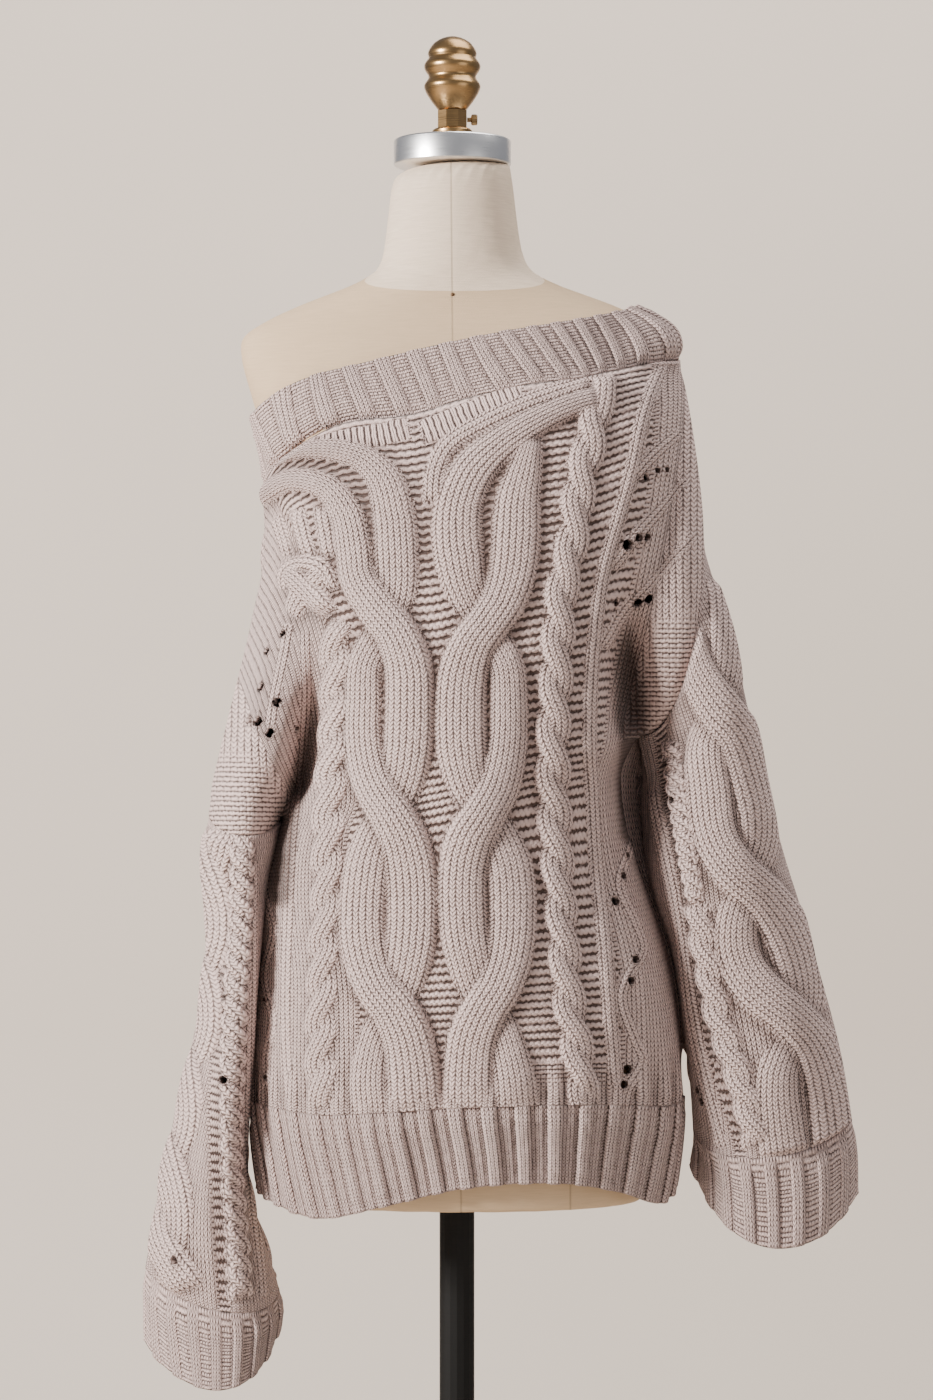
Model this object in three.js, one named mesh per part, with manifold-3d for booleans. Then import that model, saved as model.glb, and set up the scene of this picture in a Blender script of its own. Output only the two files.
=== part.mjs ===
// Cable knit sweater worn off one shoulder on a limbless dress form.
// Millimetres, +Z up, the front faces -Y, and the origin is under the base on the pole's axis.
// The garment is a set of knitted tubes and panels: each is a wall whose outer points carry the cables
// and ribs, over a plain inside.
import * as THREE from 'three';
import { mergeVertices } from 'three/addons/utils/BufferGeometryUtils.js';
import Module from 'manifold-3d';

const wasm = await Module();
wasm.setup();

// Driving sizes of the knitting
const WALL = 3.5;
const SEAM_GAP = 0.3;
const REST_CLEARANCE = 2;
const PANEL_WALES = 108;
const CENTRE_WALE = 54;
const BAND_RIBS = 32;
const HEM_RIBS_EACH = 19;
const CUFF_RIBS = 16;
const RIB_RISE = 3.2;
const EYELET = 3.6;
const BAND_TRIM = 0.45;
const UNDERARM_ROW = 0.53;

// Driving sizes of the dress form's stand
const FORM_FOOT = 613;
const NECK_TOP = 1500;
const RING_HEIGHT = 22;
const RING_RADIUS = 50.5;
const POLE_RADIUS = 15;
const BASE_RADIUS = 165;
const BASE_THICKNESS = 12;
const SOCKET_RADIUS = 24;
const SOCKET_HEIGHT = 46;

// Colours of the parts
const WOOL = 0xb9a8a2;
const LINEN = 0xd8c6b0;
const STEEL = 0xb4b6b8;
const BRASS = 0xb08a55;
const BLACK = 0x161412;

// A table with named columns, one row for each section.
function table(columns, rows) {
  const names = columns.split(' ');
  return rows.map((row) => Object.fromEntries(names.map((name, i) => [name, row[i]])));
}

// The row of a table at any value of its first column, through a smooth curve.
function rowAt(rows, key, value) {
  const last = rows.length - 1;
  let i = 0;
  while (i < last - 1 && value > rows[i + 1][key]) i += 1;
  const before = rows[Math.max(i - 1, 0)];
  const a = rows[i];
  const b = rows[i + 1];
  const after = rows[Math.min(i + 2, last)];
  const span = b[key] - a[key];
  const t = (value - a[key]) / span;
  const result = {};
  for (const name of Object.keys(a)) {
    const slopeA = before === a ? (b[name] - a[name]) / span
      : (b[name] - before[name]) / (b[key] - before[key]);
    const slopeB = after === b ? (b[name] - a[name]) / span
      : (after[name] - a[name]) / (after[key] - a[key]);
    const c = 3 * (b[name] - a[name]) - span * (2 * slopeA + slopeB);
    const d = 2 * (a[name] - b[name]) + span * (slopeA + slopeB);
    result[name] = a[name] + t * (span * slopeA + t * (c + t * d));
  }
  return result;
}

const vec = (x, y, z) => new THREE.Vector3(x, y, z);

function bezier(p0, p1, p2, p3, t) {
  const s = 1 - t;
  return vec(0, 0, 0)
    .addScaledVector(p0, s * s * s)
    .addScaledVector(p1, 3 * s * s * t)
    .addScaledVector(p2, 3 * s * t * t)
    .addScaledVector(p3, t * t * t);
}

// The dress form's horizontal sections: half width, depth to the front and back, squareness, and how
// far the neck leans to the left.
const torsoSections = table('z half front back square lean', [
  [613, 163, 105, 98, 2.2, 0],
  [700, 169, 110, 106, 2.2, 0],
  [800, 164, 106, 112, 2.2, 0],
  [880, 146, 96, 104, 2.2, 0],
  [950, 122, 88, 92, 2.2, 0],
  [1010, 110, 84, 84, 2.2, 0],
  [1070, 117, 90, 84, 2.2, 0],
  [1130, 134, 100, 88, 2.2, 0],
  [1190, 147, 110, 92, 2.2, 0],
  [1240, 158, 103, 94, 2.3, 0],
  [1283, 172, 91, 92, 2.6, 0],
  [1320, 182, 77, 85, 2.8, 0],
  [1353, 187, 60, 72, 2.6, 0],
  [1370, 158, 53, 64, 2.3, 0],
  [1384, 126, 50, 59, 2.1, 0],
  [1394, 96, 50, 56, 2, 1],
  [1404, 71, 51, 55, 2, 2],
  [1414, 62.5, 52, 54, 2, 3],
  [1435, 57.5, 52, 52, 2, 4],
  [1465, 54.4, 51, 51, 2, 4],
  [1500, 51, 50, 50, 2, 4],
]);

// How far out a point lies in the form's section: 1 on its surface.
function formReach(p) {
  const s = rowAt(torsoSections, 'z', THREE.MathUtils.clamp(p.z, FORM_FOOT, NECK_TOP));
  const depth = p.y < 0 ? s.front : s.back;
  const across = Math.abs(p.x + s.lean) / s.half;
  return (across ** s.square + (Math.abs(p.y) / depth) ** s.square) ** (1 / s.square);
}

const MOST_PUSHES = 12;
const LONGEST_PUSH = 12;
const FAR_REACH = 1.25;

// Cloth that would lie in the form is moved out to rest on it.
function clearOfForm(p, clearance) {
  const step = 0.5;
  for (let i = 0; i < MOST_PUSHES; i += 1) {
    const reach = formReach(p);
    if (reach > FAR_REACH) return p;
    const slope = vec(
      formReach(vec(p.x + step, p.y, p.z)) - formReach(vec(p.x - step, p.y, p.z)),
      formReach(vec(p.x, p.y + step, p.z)) - formReach(vec(p.x, p.y - step, p.z)),
      formReach(vec(p.x, p.y, p.z + step)) - formReach(vec(p.x, p.y, p.z - step)),
    ).divideScalar(2 * step);
    const distance = (reach - 1) / slope.length();
    if (distance >= clearance) return p;
    p.addScaledVector(slope.normalize(), Math.min(clearance - distance, LONGEST_PUSH));
  }
  return p;
}

// The body tube below the underarm. Level 0 is the underarm, 1 the top of the hem rib, 2 the hem.
const bodySections = table('level leftX leftZ rightX rightZ front back', [
  [0, -149, 942, 155, 1010, 126, 104],
  [0.12, -157, 915, 141, 975, 127, 106],
  [0.3, -165, 870, 152, 905, 128, 110],
  [0.55, -168, 805, 181, 826, 131, 117],
  [0.78, -173, 752, 191, 762, 132, 120],
  [1, -175, 700, 193, 702, 132, 120],
  [1.5, -174, 660, 191, 662, 128, 117],
  [2, -171, 622, 187, 626, 125, 114],
]);

// The hem hangs lower at two places and higher in the middle: how far each share of the front drops.
const hemDrop = table('share drop', [
  [0, 0], [0.12, 6], [0.24, 14], [0.36, 1], [0.5, -14], [0.66, -16], [0.78, -4], [0.88, 10], [1, 0],
]);

const SIDE_Y = 2;
const HANDLE = 4 / 3;
const ROW_SAMPLES = 48;
const rowCache = new Map();

// One row of the body tube as even steps, from the left side seam to the right one.
function bodyRow(side, level) {
  const name = `${side}${level.toFixed(5)}`;
  if (rowCache.has(name)) return rowCache.get(name);
  const s = rowAt(bodySections, 'level', level);
  const depth = side === 'front' ? -s.front : s.back;
  const handle = vec(0, depth * HANDLE, 0);
  const left = vec(s.leftX, SIDE_Y, s.leftZ);
  const right = vec(s.rightX, SIDE_Y, s.rightZ);
  const points = [];
  const lengths = [0];
  for (let i = 0; i <= ROW_SAMPLES; i += 1) {
    const p = bezier(left, left.clone().add(handle), right.clone().add(handle), right, i / ROW_SAMPLES);
    points.push(p);
    if (i) lengths.push(lengths[i - 1] + p.distanceTo(points[i - 1]));
  }
  rowCache.set(name, { points, lengths });
  return rowCache.get(name);
}

// How far along a row a wale lies: wales keep their pitch near the centre gutter, and the ones at the
// sides take up the rest of the row.
const centreShares = { front: 0.465, back: 0.5 };
const walePitches = { left: 4.3, right: 4.9 };

function distanceAlong(side, wale, length) {
  const centre = centreShares[side] * length;
  const onLeft = wale < CENTRE_WALE;
  const count = onLeft ? CENTRE_WALE : PANEL_WALES - CENTRE_WALE;
  const out = Math.abs(wale - CENTRE_WALE);
  const room = onLeft ? centre : length - centre;
  const pitch = side === 'back' ? room / count : walePitches[onLeft ? 'left' : 'right'];
  const distance = pitch * out + (room - pitch * count) * (out / count) ** 3;
  return onLeft ? centre - distance : centre + distance;
}

function bodyPoint(side, wale, level) {
  const { points, lengths } = bodyRow(side, level);
  const whole = lengths[ROW_SAMPLES];
  const target = distanceAlong(side, wale, whole);
  let i = 1;
  while (i < ROW_SAMPLES && lengths[i] < target) i += 1;
  const t = (target - lengths[i - 1]) / (lengths[i] - lengths[i - 1]);
  const p = points[i - 1].clone().lerp(points[i], t);
  if (side === 'front') {
    const hang = THREE.MathUtils.smoothstep(level, 0.4, 2);
    p.z -= hang * rowAt(hemDrop, 'share', target / whole).drop;
  }
  return clearOfForm(p, WALL + REST_CLEARANCE);
}

// The shoulder line, where the front meets the back: down the left arm from the neck band's end, and
// down the right one.
const leftShoulder = table('wale x y z', [
  [0, -213.3, 2, 945.5],
  [8, -203, 2, 995],
  [16, -189, 2, 1055],
  [24, -175, 2, 1118],
  [30, -166, 2, 1165],
  [36.5, -167, 2, 1225],
]);
const rightShoulder = table('wale x y z', [
  [90, 191, 2, 1334],
  [96, 199.5, 2, 1284],
  [102, 208, 2, 1228],
  [108, 213.3, 2, 1170],
]);

// The neck line that carries the band, on the front and on the back.
const frontNeckLine = table('wale x y z', [
  [36.5, -167, 2, 1225],
  [40, -156, -34, 1237],
  [43, -137, -56, 1249],
  [48, -95.6, -82, 1270],
  [54, -42, -94, 1277],
  [60, 3, -98, 1291],
  [66, 59, -97, 1303.7],
  [72, 100, -88, 1309.5],
  [78, 126, -76, 1316],
  [84, 156, -54, 1323],
  [87, 177, -31, 1328],
  [90, 191, 2, 1334],
]);
const backNeckLine = table('wale x y z', [
  [36.5, -167, 2, 1225],
  [40, -154, 36, 1242],
  [43, -134, 58, 1262],
  [48, -92, 82, 1288],
  [54, -36, 94, 1304],
  [60, 12, 97, 1314],
  [66, 62, 94, 1322],
  [72, 101, 86, 1326],
  [78, 128, 74, 1328],
  [84, 158, 54, 1327],
  [87, 178, 33, 1330],
  [90, 191, 2, 1334],
]);

// The yoke above the underarm: each wale runs from that line, with a handle out of it, to the underarm
// row, with a handle up from it.
const frontYoke = table('wale outX outY outZ upX upY upZ', [
  [0, 4, -104, -22, 4, -104, -22],
  [8, 8, -96, -22, -16, -84, 8],
  [16, 14, -88, -24, -26, -52, 48],
  [24, 24, -84, -30, -20, -18, 88],
  [30, 34, -80, -38, -10, -2, 100],
  [36.5, 28, -66, -26, -4, 0, 108],
  [43, 6, -38, -44, 0, 0, 110],
  [48, 2, -30, -62, 0, 0, 110],
  [54, 0, -28, -84, 0, 0, 110],
  [60, 0, -28, -90, 0, 0, 112],
  [66, 2, -30, -88, 2, 0, 112],
  [72, 6, -34, -82, 6, 0, 108],
  [78, 12, -42, -72, 10, 0, 104],
  [84, 16, -56, -58, 14, -4, 98],
  [87, 12, -54, -58, 16, -10, 90],
  [90, 8, -56, -52, 18, -20, 80],
  [96, 4, -84, -28, 26, -48, 50],
  [102, -4, -86, -20, 32, -72, 16],
  [108, -6, -84, -8, 44, -84, -4],
]);
const backYoke = table('wale outX outY outZ upX upY upZ', [
  [0, 4, 94, -6, 4, 94, -6],
  [8, 8, 88, -12, -16, 76, 10],
  [16, 14, 80, -18, -26, 48, 46],
  [24, 22, 76, -24, -20, 18, 86],
  [30, 30, 72, -30, -10, 4, 100],
  [36.5, 24, 62, -20, -4, 0, 108],
  [43, 6, 34, -44, 0, 0, 110],
  [48, 2, 22, -66, 0, 0, 112],
  [54, 0, 18, -88, 0, 0, 112],
  [60, 0, 18, -92, 0, 0, 112],
  [66, 2, 20, -92, 2, 0, 112],
  [72, 6, 26, -86, 6, 0, 108],
  [78, 12, 36, -76, 10, 2, 104],
  [84, 16, 52, -60, 14, 6, 98],
  [87, 12, 52, -58, 16, 12, 90],
  [90, 8, 56, -50, 18, 20, 80],
  [96, 4, 80, -28, 26, 46, 50],
  [102, -4, 82, -20, 32, 68, 16],
  [108, -6, 80, -8, 40, 80, -4],
]);

const BAND_LEFT_WALE = 36.5;
const BAND_RIGHT_WALE = 90;

function neckLinePoint(side, wale) {
  let line = side === 'front' ? frontNeckLine : backNeckLine;
  if (wale <= BAND_LEFT_WALE) line = leftShoulder;
  if (wale >= BAND_RIGHT_WALE) line = rightShoulder;
  const s = rowAt(line, 'wale', wale);
  return vec(s.x, s.y, s.z);
}

function yokePoint(side, wale, t) {
  const s = rowAt(side === 'front' ? frontYoke : backYoke, 'wale', wale);
  const top = neckLinePoint(side, wale);
  const bottom = bodyPoint(side, wale, 0);
  const p = bezier(
    top,
    top.clone().add(vec(s.outX, s.outY, s.outZ)),
    bottom.clone().add(vec(s.upX, s.upY, s.upZ)),
    bottom,
    t,
  );
  return clearOfForm(p, WALL + REST_CLEARANCE);
}

// A panel's point: row 0 is the neck and shoulder line, UNDERARM_ROW the underarm, 1 the hem rib's top.
function panelPoint(side, wale, row) {
  if (row <= UNDERARM_ROW) return yokePoint(side, wale, row / UNDERARM_ROW);
  return bodyPoint(side, wale, (row - UNDERARM_ROW) / (1 - UNDERARM_ROW));
}

// The sleeves' rings, from the armhole (level 0) to the cuff rib's top (1) and its edge (2): the outer
// and inner line seen from the front, the depth to the front and back, how the front leans and hangs,
// how the back hangs, and how far the front is pinched to a point.
const leftSleeve = table('level outX outZ inX inZ front back frontX frontZ backZ pinch', [
  [0, -213.3, 945.5, -149, 942, 78, 70.5, 4, -22, -6, 0],
  [0.07, -214, 912, -164, 900, 75, 70, 14, -18, -6, 0],
  [0.2, -213, 866, -172, 858, 74, 70, 22, -10, -4, 0],
  [0.42, -221, 783, -178, 777, 74, 70, 22, -6, 0, 0],
  [0.62, -235, 713, -182, 705, 73, 68, 20, -6, 0, 0],
  [0.82, -254, 626, -178, 620, 68, 60, 16, -10, 0, 0.06],
  [1, -268, 553, -153, 534, 62, 50, 16, -24, 0, 0.14],
  [1.5, -269, 520, -150, 514, 64, 50, 16, -36, 4, 0.2],
  [2, -268, 489, -151, 503, 66, 50, 16, -48, 6, 0.26],
]);
const rightSleeve = table('level outX outZ inX inZ front back frontX frontZ backZ pinch', [
  [0, 213.3, 1170, 154.8, 1010, 63, 60, 0, 0, 0, 0],
  [0.13, 235, 1084, 163, 972, 66, 62, 20, 0, 0, 0],
  [0.32, 257, 999, 164, 930, 66, 62, 8, 0, 0, 0],
  [0.5, 281, 910, 168, 880, 66, 60, -8, 0, 0, 0],
  [0.64, 299, 852, 186, 822, 64, 58, -20, 0, 0, 0],
  [0.82, 328, 748, 198, 738, 62, 54, -22, -8, 0, 0.06],
  [1, 340, 680, 203, 672, 60, 50, -18, -28, 0, 0.14],
  [1.5, 345, 648, 202, 656, 62, 50, -16, -46, 6, 0.2],
  [2, 346, 616, 199.5, 642, 64, 50, -14, -66, 8, 0.26],
]);
const ARMHOLE_FADE = 0.2;

// A ring's point by its table row: turn 0 is the outer line, 1 the inner line.
function ringPoint(s, side, turn) {
  const out = vec(s.outX, SIDE_Y, s.outZ);
  const inner = vec(s.inX, SIDE_Y, s.inZ);
  const across = inner.clone().sub(out);
  const forward = side === 'front';
  const handle = forward ? vec(s.frontX, -s.front * HANDLE, s.frontZ) : vec(0, s.back * HANDLE, s.backZ);
  const pinch = forward ? s.pinch : 0;
  return bezier(
    out,
    out.clone().add(handle).addScaledVector(across, pinch),
    inner.clone().add(handle).addScaledVector(across, -pinch),
    inner,
    turn,
  );
}

// A sleeve starts on the panels' armhole edge and passes into its own rings.
function sleevePoint(which, side, turn, level) {
  const rings = which === 'left' ? leftSleeve : rightSleeve;
  const armholeWale = which === 'left' ? 0 : PANEL_WALES;
  if (level === 0) return yokePoint(side, armholeWale, turn);
  const p = ringPoint(rowAt(rings, 'level', level), side, turn);
  if (level < ARMHOLE_FADE) {
    const difference = yokePoint(side, armholeWale, turn).sub(ringPoint(rings[0], side, turn));
    p.addScaledVector(difference, 1 - level / ARMHOLE_FADE);
  }
  return p;
}

// A grid of base points over a surface, with columns and rows at the given values.
function grid(columns, rows, pointAt) {
  return columns.map((u) => rows.map((v) => pointAt(u, v)));
}

function steps(from, to, count) {
  return Array.from({ length: count + 1 }, (_, i) => from + ((to - from) * i) / count);
}

const keyOf = (p) => `${Math.round(p.x * 20)},${Math.round(p.y * 20)},${Math.round(p.z * 20)}`;

// Faces of a grid turn outward when its columns run left to right on the front.
function gridNormals(points, flip, shared) {
  const normals = points.map((column) => column.map(() => vec(0, 0, 0)));
  for (let i = 0; i < points.length - 1; i += 1) {
    for (let j = 0; j < points[0].length - 1; j += 1) {
      const a = points[i][j];
      const across = points[i + 1][j + 1].clone().sub(a);
      const other = points[i][j + 1].clone().sub(points[i + 1][j]);
      const face = other.cross(across).multiplyScalar(flip ? -1 : 1);
      for (const [di, dj] of [[0, 0], [1, 0], [0, 1], [1, 1]]) {
        normals[i + di][j + dj].add(face);
        if (shared) {
          const key = keyOf(points[i + di][j + dj]);
          if (!shared.has(key)) shared.set(key, vec(0, 0, 0));
          shared.get(key).add(face);
        }
      }
    }
  }
  return normals;
}

// One cloth piece: its grid of base points, with its relief and seam clearances.
class ClothPiece {
  constructor(name, columns, rows, pointAt, flip, options = {}) {
    this.name = name;
    this.columns = columns;
    this.rows = rows;
    this.flip = flip;
    this.points = grid(columns, rows, pointAt);
    this.relief = options.relief ?? (() => 0);
    this.coarse = options.coarse ?? 2;
    this.ring = options.ring ?? false;
    this.edgeNormals = options.edgeNormals ?? null;
    this.trim = options.trim ?? SEAM_GAP * 0.6;
  }
}

const pieces = [];
const sharedNormals = new Map();

function addPiece(...settings) {
  const piece = new ClothPiece(...settings);
  piece.ownNormals = gridNormals(piece.points, piece.flip, sharedNormals);
  pieces.push(piece);
  return piece;
}

function finishNormals(piece) {
  const last = piece.columns.length - 1;
  const bottom = piece.rows.length - 1;
  piece.normals = piece.points.map((column, i) => column.map((p, j) => {
    const edge = i === 0 || j === 0 || i === last || j === bottom;
    const given = edge ? sharedNormals.get(keyOf(p)) : piece.ownNormals[i][j];
    return given.clone().normalize();
  }));
  if (piece.edgeNormals) {
    const seamRow = piece.edgeNormals.row;
    piece.normals.forEach((column, i) => {
      column[seamRow] = piece.edgeNormals.at(piece.columns[i]);
    });
  }
}

// Edge points move a little into their own piece, so that two pieces stay apart at their seam.
function seamShift(piece, i, j) {
  const last = piece.columns.length - 1;
  const bottom = piece.rows.length - 1;
  const shift = vec(0, 0, 0);
  const from = piece.points[i][j];
  const towards = (a, b) => {
    const direction = piece.points[a][b].clone().sub(from);
    if (direction.length() > 0) shift.addScaledVector(direction.normalize(), piece.trim);
  };
  if (!piece.ring && i === 0) towards(1, j);
  if (!piece.ring && i === last) towards(last - 1, j);
  if (j === 0) towards(i, 1);
  if (j === bottom) towards(i, bottom - 1);
  return shift;
}

function trianglesToGeometry(vertices, triangles) {
  const geometry = new THREE.BufferGeometry();
  const flat = new Float32Array(vertices.length * 3);
  vertices.forEach((p, i) => flat.set([p.x, p.y, p.z], i * 3));
  geometry.setAttribute('position', new THREE.BufferAttribute(flat, 3));
  geometry.setIndex(triangles.flat());
  return geometry;
}

// The wall: outer points with relief, inner points plain, and a rim along each edge.
function wallGeometry(piece) {
  const nu = piece.columns.length - 1;
  const nv = piece.rows.length - 1;
  const vertices = [];
  const outer = [];
  const inner = [];
  for (let i = 0; i <= nu; i += 1) {
    outer.push([]);
    inner.push([]);
    for (let j = 0; j <= nv; j += 1) {
      const base = piece.points[i][j].clone().add(seamShift(piece, i, j));
      const normal = piece.normals[i][j];
      const edge = (!piece.ring && (i === 0 || i === nu)) || j === 0 || j === nv;
      const rise = piece.relief(piece.columns[i], piece.rows[j], piece.points[i][j]);
      outer[i].push(vertices.length);
      vertices.push(base.clone().addScaledVector(normal, rise));
      const onCoarse = i % piece.coarse === 0 && j % piece.coarse === 0;
      if (edge || onCoarse) {
        inner[i].push(vertices.length);
        vertices.push(base.clone().addScaledVector(normal, -WALL));
      } else {
        inner[i].push(-1);
      }
    }
  }
  const triangles = [];
  const face = (a, b, c, inside) => {
    const turned = piece.flip !== inside;
    triangles.push(turned ? [a, c, b] : [a, b, c]);
  };
  const columnAt = (i) => (piece.ring && i === nu ? 0 : i);
  for (let i = 0; i < nu; i += 1) {
    for (let j = 0; j < nv; j += 1) {
      const a = outer[i][j];
      const b = outer[columnAt(i + 1)][j];
      const c = outer[columnAt(i + 1)][j + 1];
      const d = outer[i][j + 1];
      face(a, d, b, false);
      face(b, d, c, false);
    }
  }
  innerFaces(piece, inner, nu, nv, columnAt, face);
  const rim = (o1, o2, n1, n2) => {
    face(o1, o2, n1, false);
    face(o2, n2, n1, false);
  };
  for (let i = 0; i < nu; i += 1) {
    const k = columnAt(i + 1);
    rim(outer[i][0], outer[k][0], inner[i][0], inner[k][0]);
    rim(outer[k][nv], outer[i][nv], inner[k][nv], inner[i][nv]);
  }
  if (!piece.ring) {
    for (let j = 0; j < nv; j += 1) {
      rim(outer[0][j + 1], outer[0][j], inner[0][j + 1], inner[0][j]);
      rim(outer[nu][j], outer[nu][j + 1], inner[nu][j], inner[nu][j + 1]);
    }
  }
  return trianglesToGeometry(vertices, triangles);
}

// The plain inside is coarse in the middle and meets the fine edges through fans of triangles. A fan
// starts at its cell's corner that lies farthest inside, so that no triangle is flat.
function innerFaces(piece, inner, nu, nv, columnAt, face) {
  const step = piece.coarse;
  for (let i = 0; i < nu; i += step) {
    for (let j = 0; j < nv; j += step) {
      const i2 = Math.min(i + step, nu);
      const j2 = Math.min(j + step, nv);
      const loop = [];
      for (let k = i; k < i2; k += 1) loop.push(inner[columnAt(k)][j]);
      for (let k = j; k < j2; k += 1) loop.push(inner[columnAt(i2)][k]);
      for (let k = i2; k > i; k -= 1) loop.push(inner[columnAt(k)][j2]);
      for (let k = j2; k > j; k -= 1) loop.push(inner[columnAt(i)][k]);
      const corners = loop.filter((vertex) => vertex >= 0);
      const farthest = inner[columnAt(i === 0 ? i2 : i)][j === 0 ? j2 : j];
      const middle = corners.length > 4 ? Math.max(corners.indexOf(farthest), 0) : 0;
      for (let k = 1; k < corners.length - 1; k += 1) {
        const b = corners[(middle + k) % corners.length];
        const c = corners[(middle + k + 1) % corners.length];
        face(corners[middle], c, b, true);
      }
    }
  }
}

function solidOf(geometry) {
  const bare = new THREE.BufferGeometry();
  bare.setAttribute('position', geometry.getAttribute('position'));
  bare.setIndex(geometry.getIndex());
  const merged = mergeVertices(bare, 1e-4);
  return new wasm.Manifold(new wasm.Mesh({
    numProp: 3,
    vertProperties: merged.getAttribute('position').array,
    triVerts: new Uint32Array(merged.getIndex().array),
  }));
}

function geometryOf(solid) {
  const mesh = solid.getMesh();
  const geometry = new THREE.BufferGeometry();
  geometry.setAttribute('position', new THREE.BufferAttribute(mesh.vertProperties, 3));
  geometry.setIndex(new THREE.BufferAttribute(mesh.triVerts, 1));
  return geometry;
}

// An eyelet is a four-sided pin through the wall.
function eyeletPin(centre, normal, radius) {
  const pin = new THREE.CylinderGeometry(radius, radius, 4 * WALL, 4);
  pin.applyQuaternion(new THREE.Quaternion().setFromUnitVectors(vec(0, 1, 0), normal));
  pin.translate(centre.x, centre.y, centre.z);
  pin.deleteAttribute('normal');
  pin.deleteAttribute('uv');
  return pin;
}

const dome = (d) => Math.sqrt(Math.max(0, 1 - d * d));

// The front's and back's columns of knitting, counted from the centre gutter outwards in wales.
const GUTTER_EDGE = 1.5;
const CABLE_EDGE = 17.5;
const ROPE_START = 20.5;
const ROPE_END = 26.5;
const RIB_START = 28.5;
const RIB_END = 30.5;
const LEAF_START = 33;
const LEAF_END = 41;
const CABLE_PITCH = 162;
const CABLE_CROSSING_Z = 1109;
const CABLE_RISE = 9;
const ROPE_PITCH = 48;
const ROPE_RISE = 6;

const STRAND_OFFSET = 0.24;
const STRAND_HALF = 0.27;
const SWING_SHARPNESS = 1.7;
const OVER_LIFT = 0.15;
const UNDER_DIP = 0.45;
const RIB_COLUMN_RISE = 2.5;
const LEAF_RISE = 1.5;

// Two strands that cross over each other again and again; across runs from 0 to 1 over the cable.
function cableHeight(across, phase, rise) {
  const swing = Math.tanh(SWING_SHARPNESS * Math.cos(phase)) / Math.tanh(SWING_SHARPNESS);
  const over = dome((across - 0.5 - STRAND_OFFSET * swing) / STRAND_HALF);
  const under = dome((across - 0.5 + STRAND_OFFSET * swing) / STRAND_HALF);
  const crossing = 1 - Math.abs(swing);
  return rise * Math.max(over * (1 + OVER_LIFT * crossing), under * (1 - UNDER_DIP * crossing));
}

function panelRelief(wale, row, p) {
  const side = wale < CENTRE_WALE ? -1 : 1;
  const out = Math.abs(wale - CENTRE_WALE);
  const edge = THREE.MathUtils.smoothstep(row, 0, 0.03) * (1 - THREE.MathUtils.smoothstep(row, 0.975, 1));
  const drop = CABLE_CROSSING_Z - p.z;
  let height = 0;
  if (out > GUTTER_EDGE && out < CABLE_EDGE) {
    const across = (out - GUTTER_EDGE) / (CABLE_EDGE - GUTTER_EDGE);
    height = cableHeight(across, Math.PI * (drop / CABLE_PITCH + 0.5), CABLE_RISE);
  } else if (out > ROPE_START && out < ROPE_END) {
    const across = (out - ROPE_START) / (ROPE_END - ROPE_START);
    height = cableHeight(across, Math.PI * (drop / ROPE_PITCH) * side, ROPE_RISE);
  } else if (out > RIB_START && out < RIB_END) {
    height = RIB_COLUMN_RISE;
  } else if (out > LEAF_START && out < LEAF_END) {
    height = LEAF_RISE * dome((out - (LEAF_START + LEAF_END) / 2) / ((LEAF_END - LEAF_START) / 2));
  }
  return height * edge;
}

// Grid columns of a panel, closer together over the cables.
const leftArmZones = table('from to columns', [
  [0, 13, 3],
  [13, 21, 2],
  [21, 27.5, 2],
  [27.5, 33.5, 3],
  [33.5, 36.5, 1],
]);
const rightArmZones = table('from to columns', [
  [80.5, 90, 3],
  [90, 108, 5],
]);
const frontZones = table('from to columns', [
  [36.5, 52.5, 8],
  [52.5, 55.5, 1],
  [55.5, 71.5, 8],
  [71.5, 74.5, 1],
  [74.5, 80.5, 3],
]);
const backZones = table('from to columns', [
  [36.5, 52.5, 4],
  [52.5, 55.5, 1],
  [55.5, 71.5, 4],
  [71.5, 74.5, 1],
  [74.5, 80.5, 2],
]);
const zoneColumns = (zones) => [0, ...[...leftArmZones, ...zones, ...rightArmZones]
  .flatMap((z) => steps(z.from, z.to, z.columns).slice(1))];
const YOKE_STEPS = 13;
const BODY_STEPS = 11;
const panelRows = [
  ...steps(0, UNDERARM_ROW, YOKE_STEPS),
  ...steps(UNDERARM_ROW, 1, BODY_STEPS).slice(1),
];

for (const side of ['front', 'back']) {
  addPiece(
    side,
    zoneColumns(side === 'front' ? frontZones : backZones),
    panelRows,
    (wale, row) => panelPoint(side, wale, row),
    side === 'back',
    { relief: panelRelief },
  );
}

// Ribs: each has a purl valley and a raised knit group, at four points.
const ribProfile = table('share height', [[0, 0], [0.36, 0], [0.48, 1], [0.88, 1]]);
const RIB_FADE = 0.1;

function ribColumns(from, to, ribs) {
  const positions = [];
  for (let i = 0; i < ribs; i += 1) {
    for (const { share } of ribProfile) positions.push(from + ((to - from) * (i + share)) / ribs);
  }
  positions.push(to);
  return positions;
}

function ribHeight(index, share) {
  return RIB_RISE * ribProfile[index % ribProfile.length].height * Math.min(1, share / RIB_FADE);
}

// The panel's edge as straight runs between its grid points, so that a rib meets it exactly.
function alongEdge(piece, rowIndex, column, list) {
  const columns = piece.columns;
  let i = 0;
  while (i < columns.length - 2 && column > columns[i + 1]) i += 1;
  const t = (column - columns[i]) / (columns[i + 1] - columns[i]);
  return list[i][rowIndex].clone().lerp(list[i + 1][rowIndex], t);
}

const front = pieces[0];
const back = pieces[1];

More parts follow.
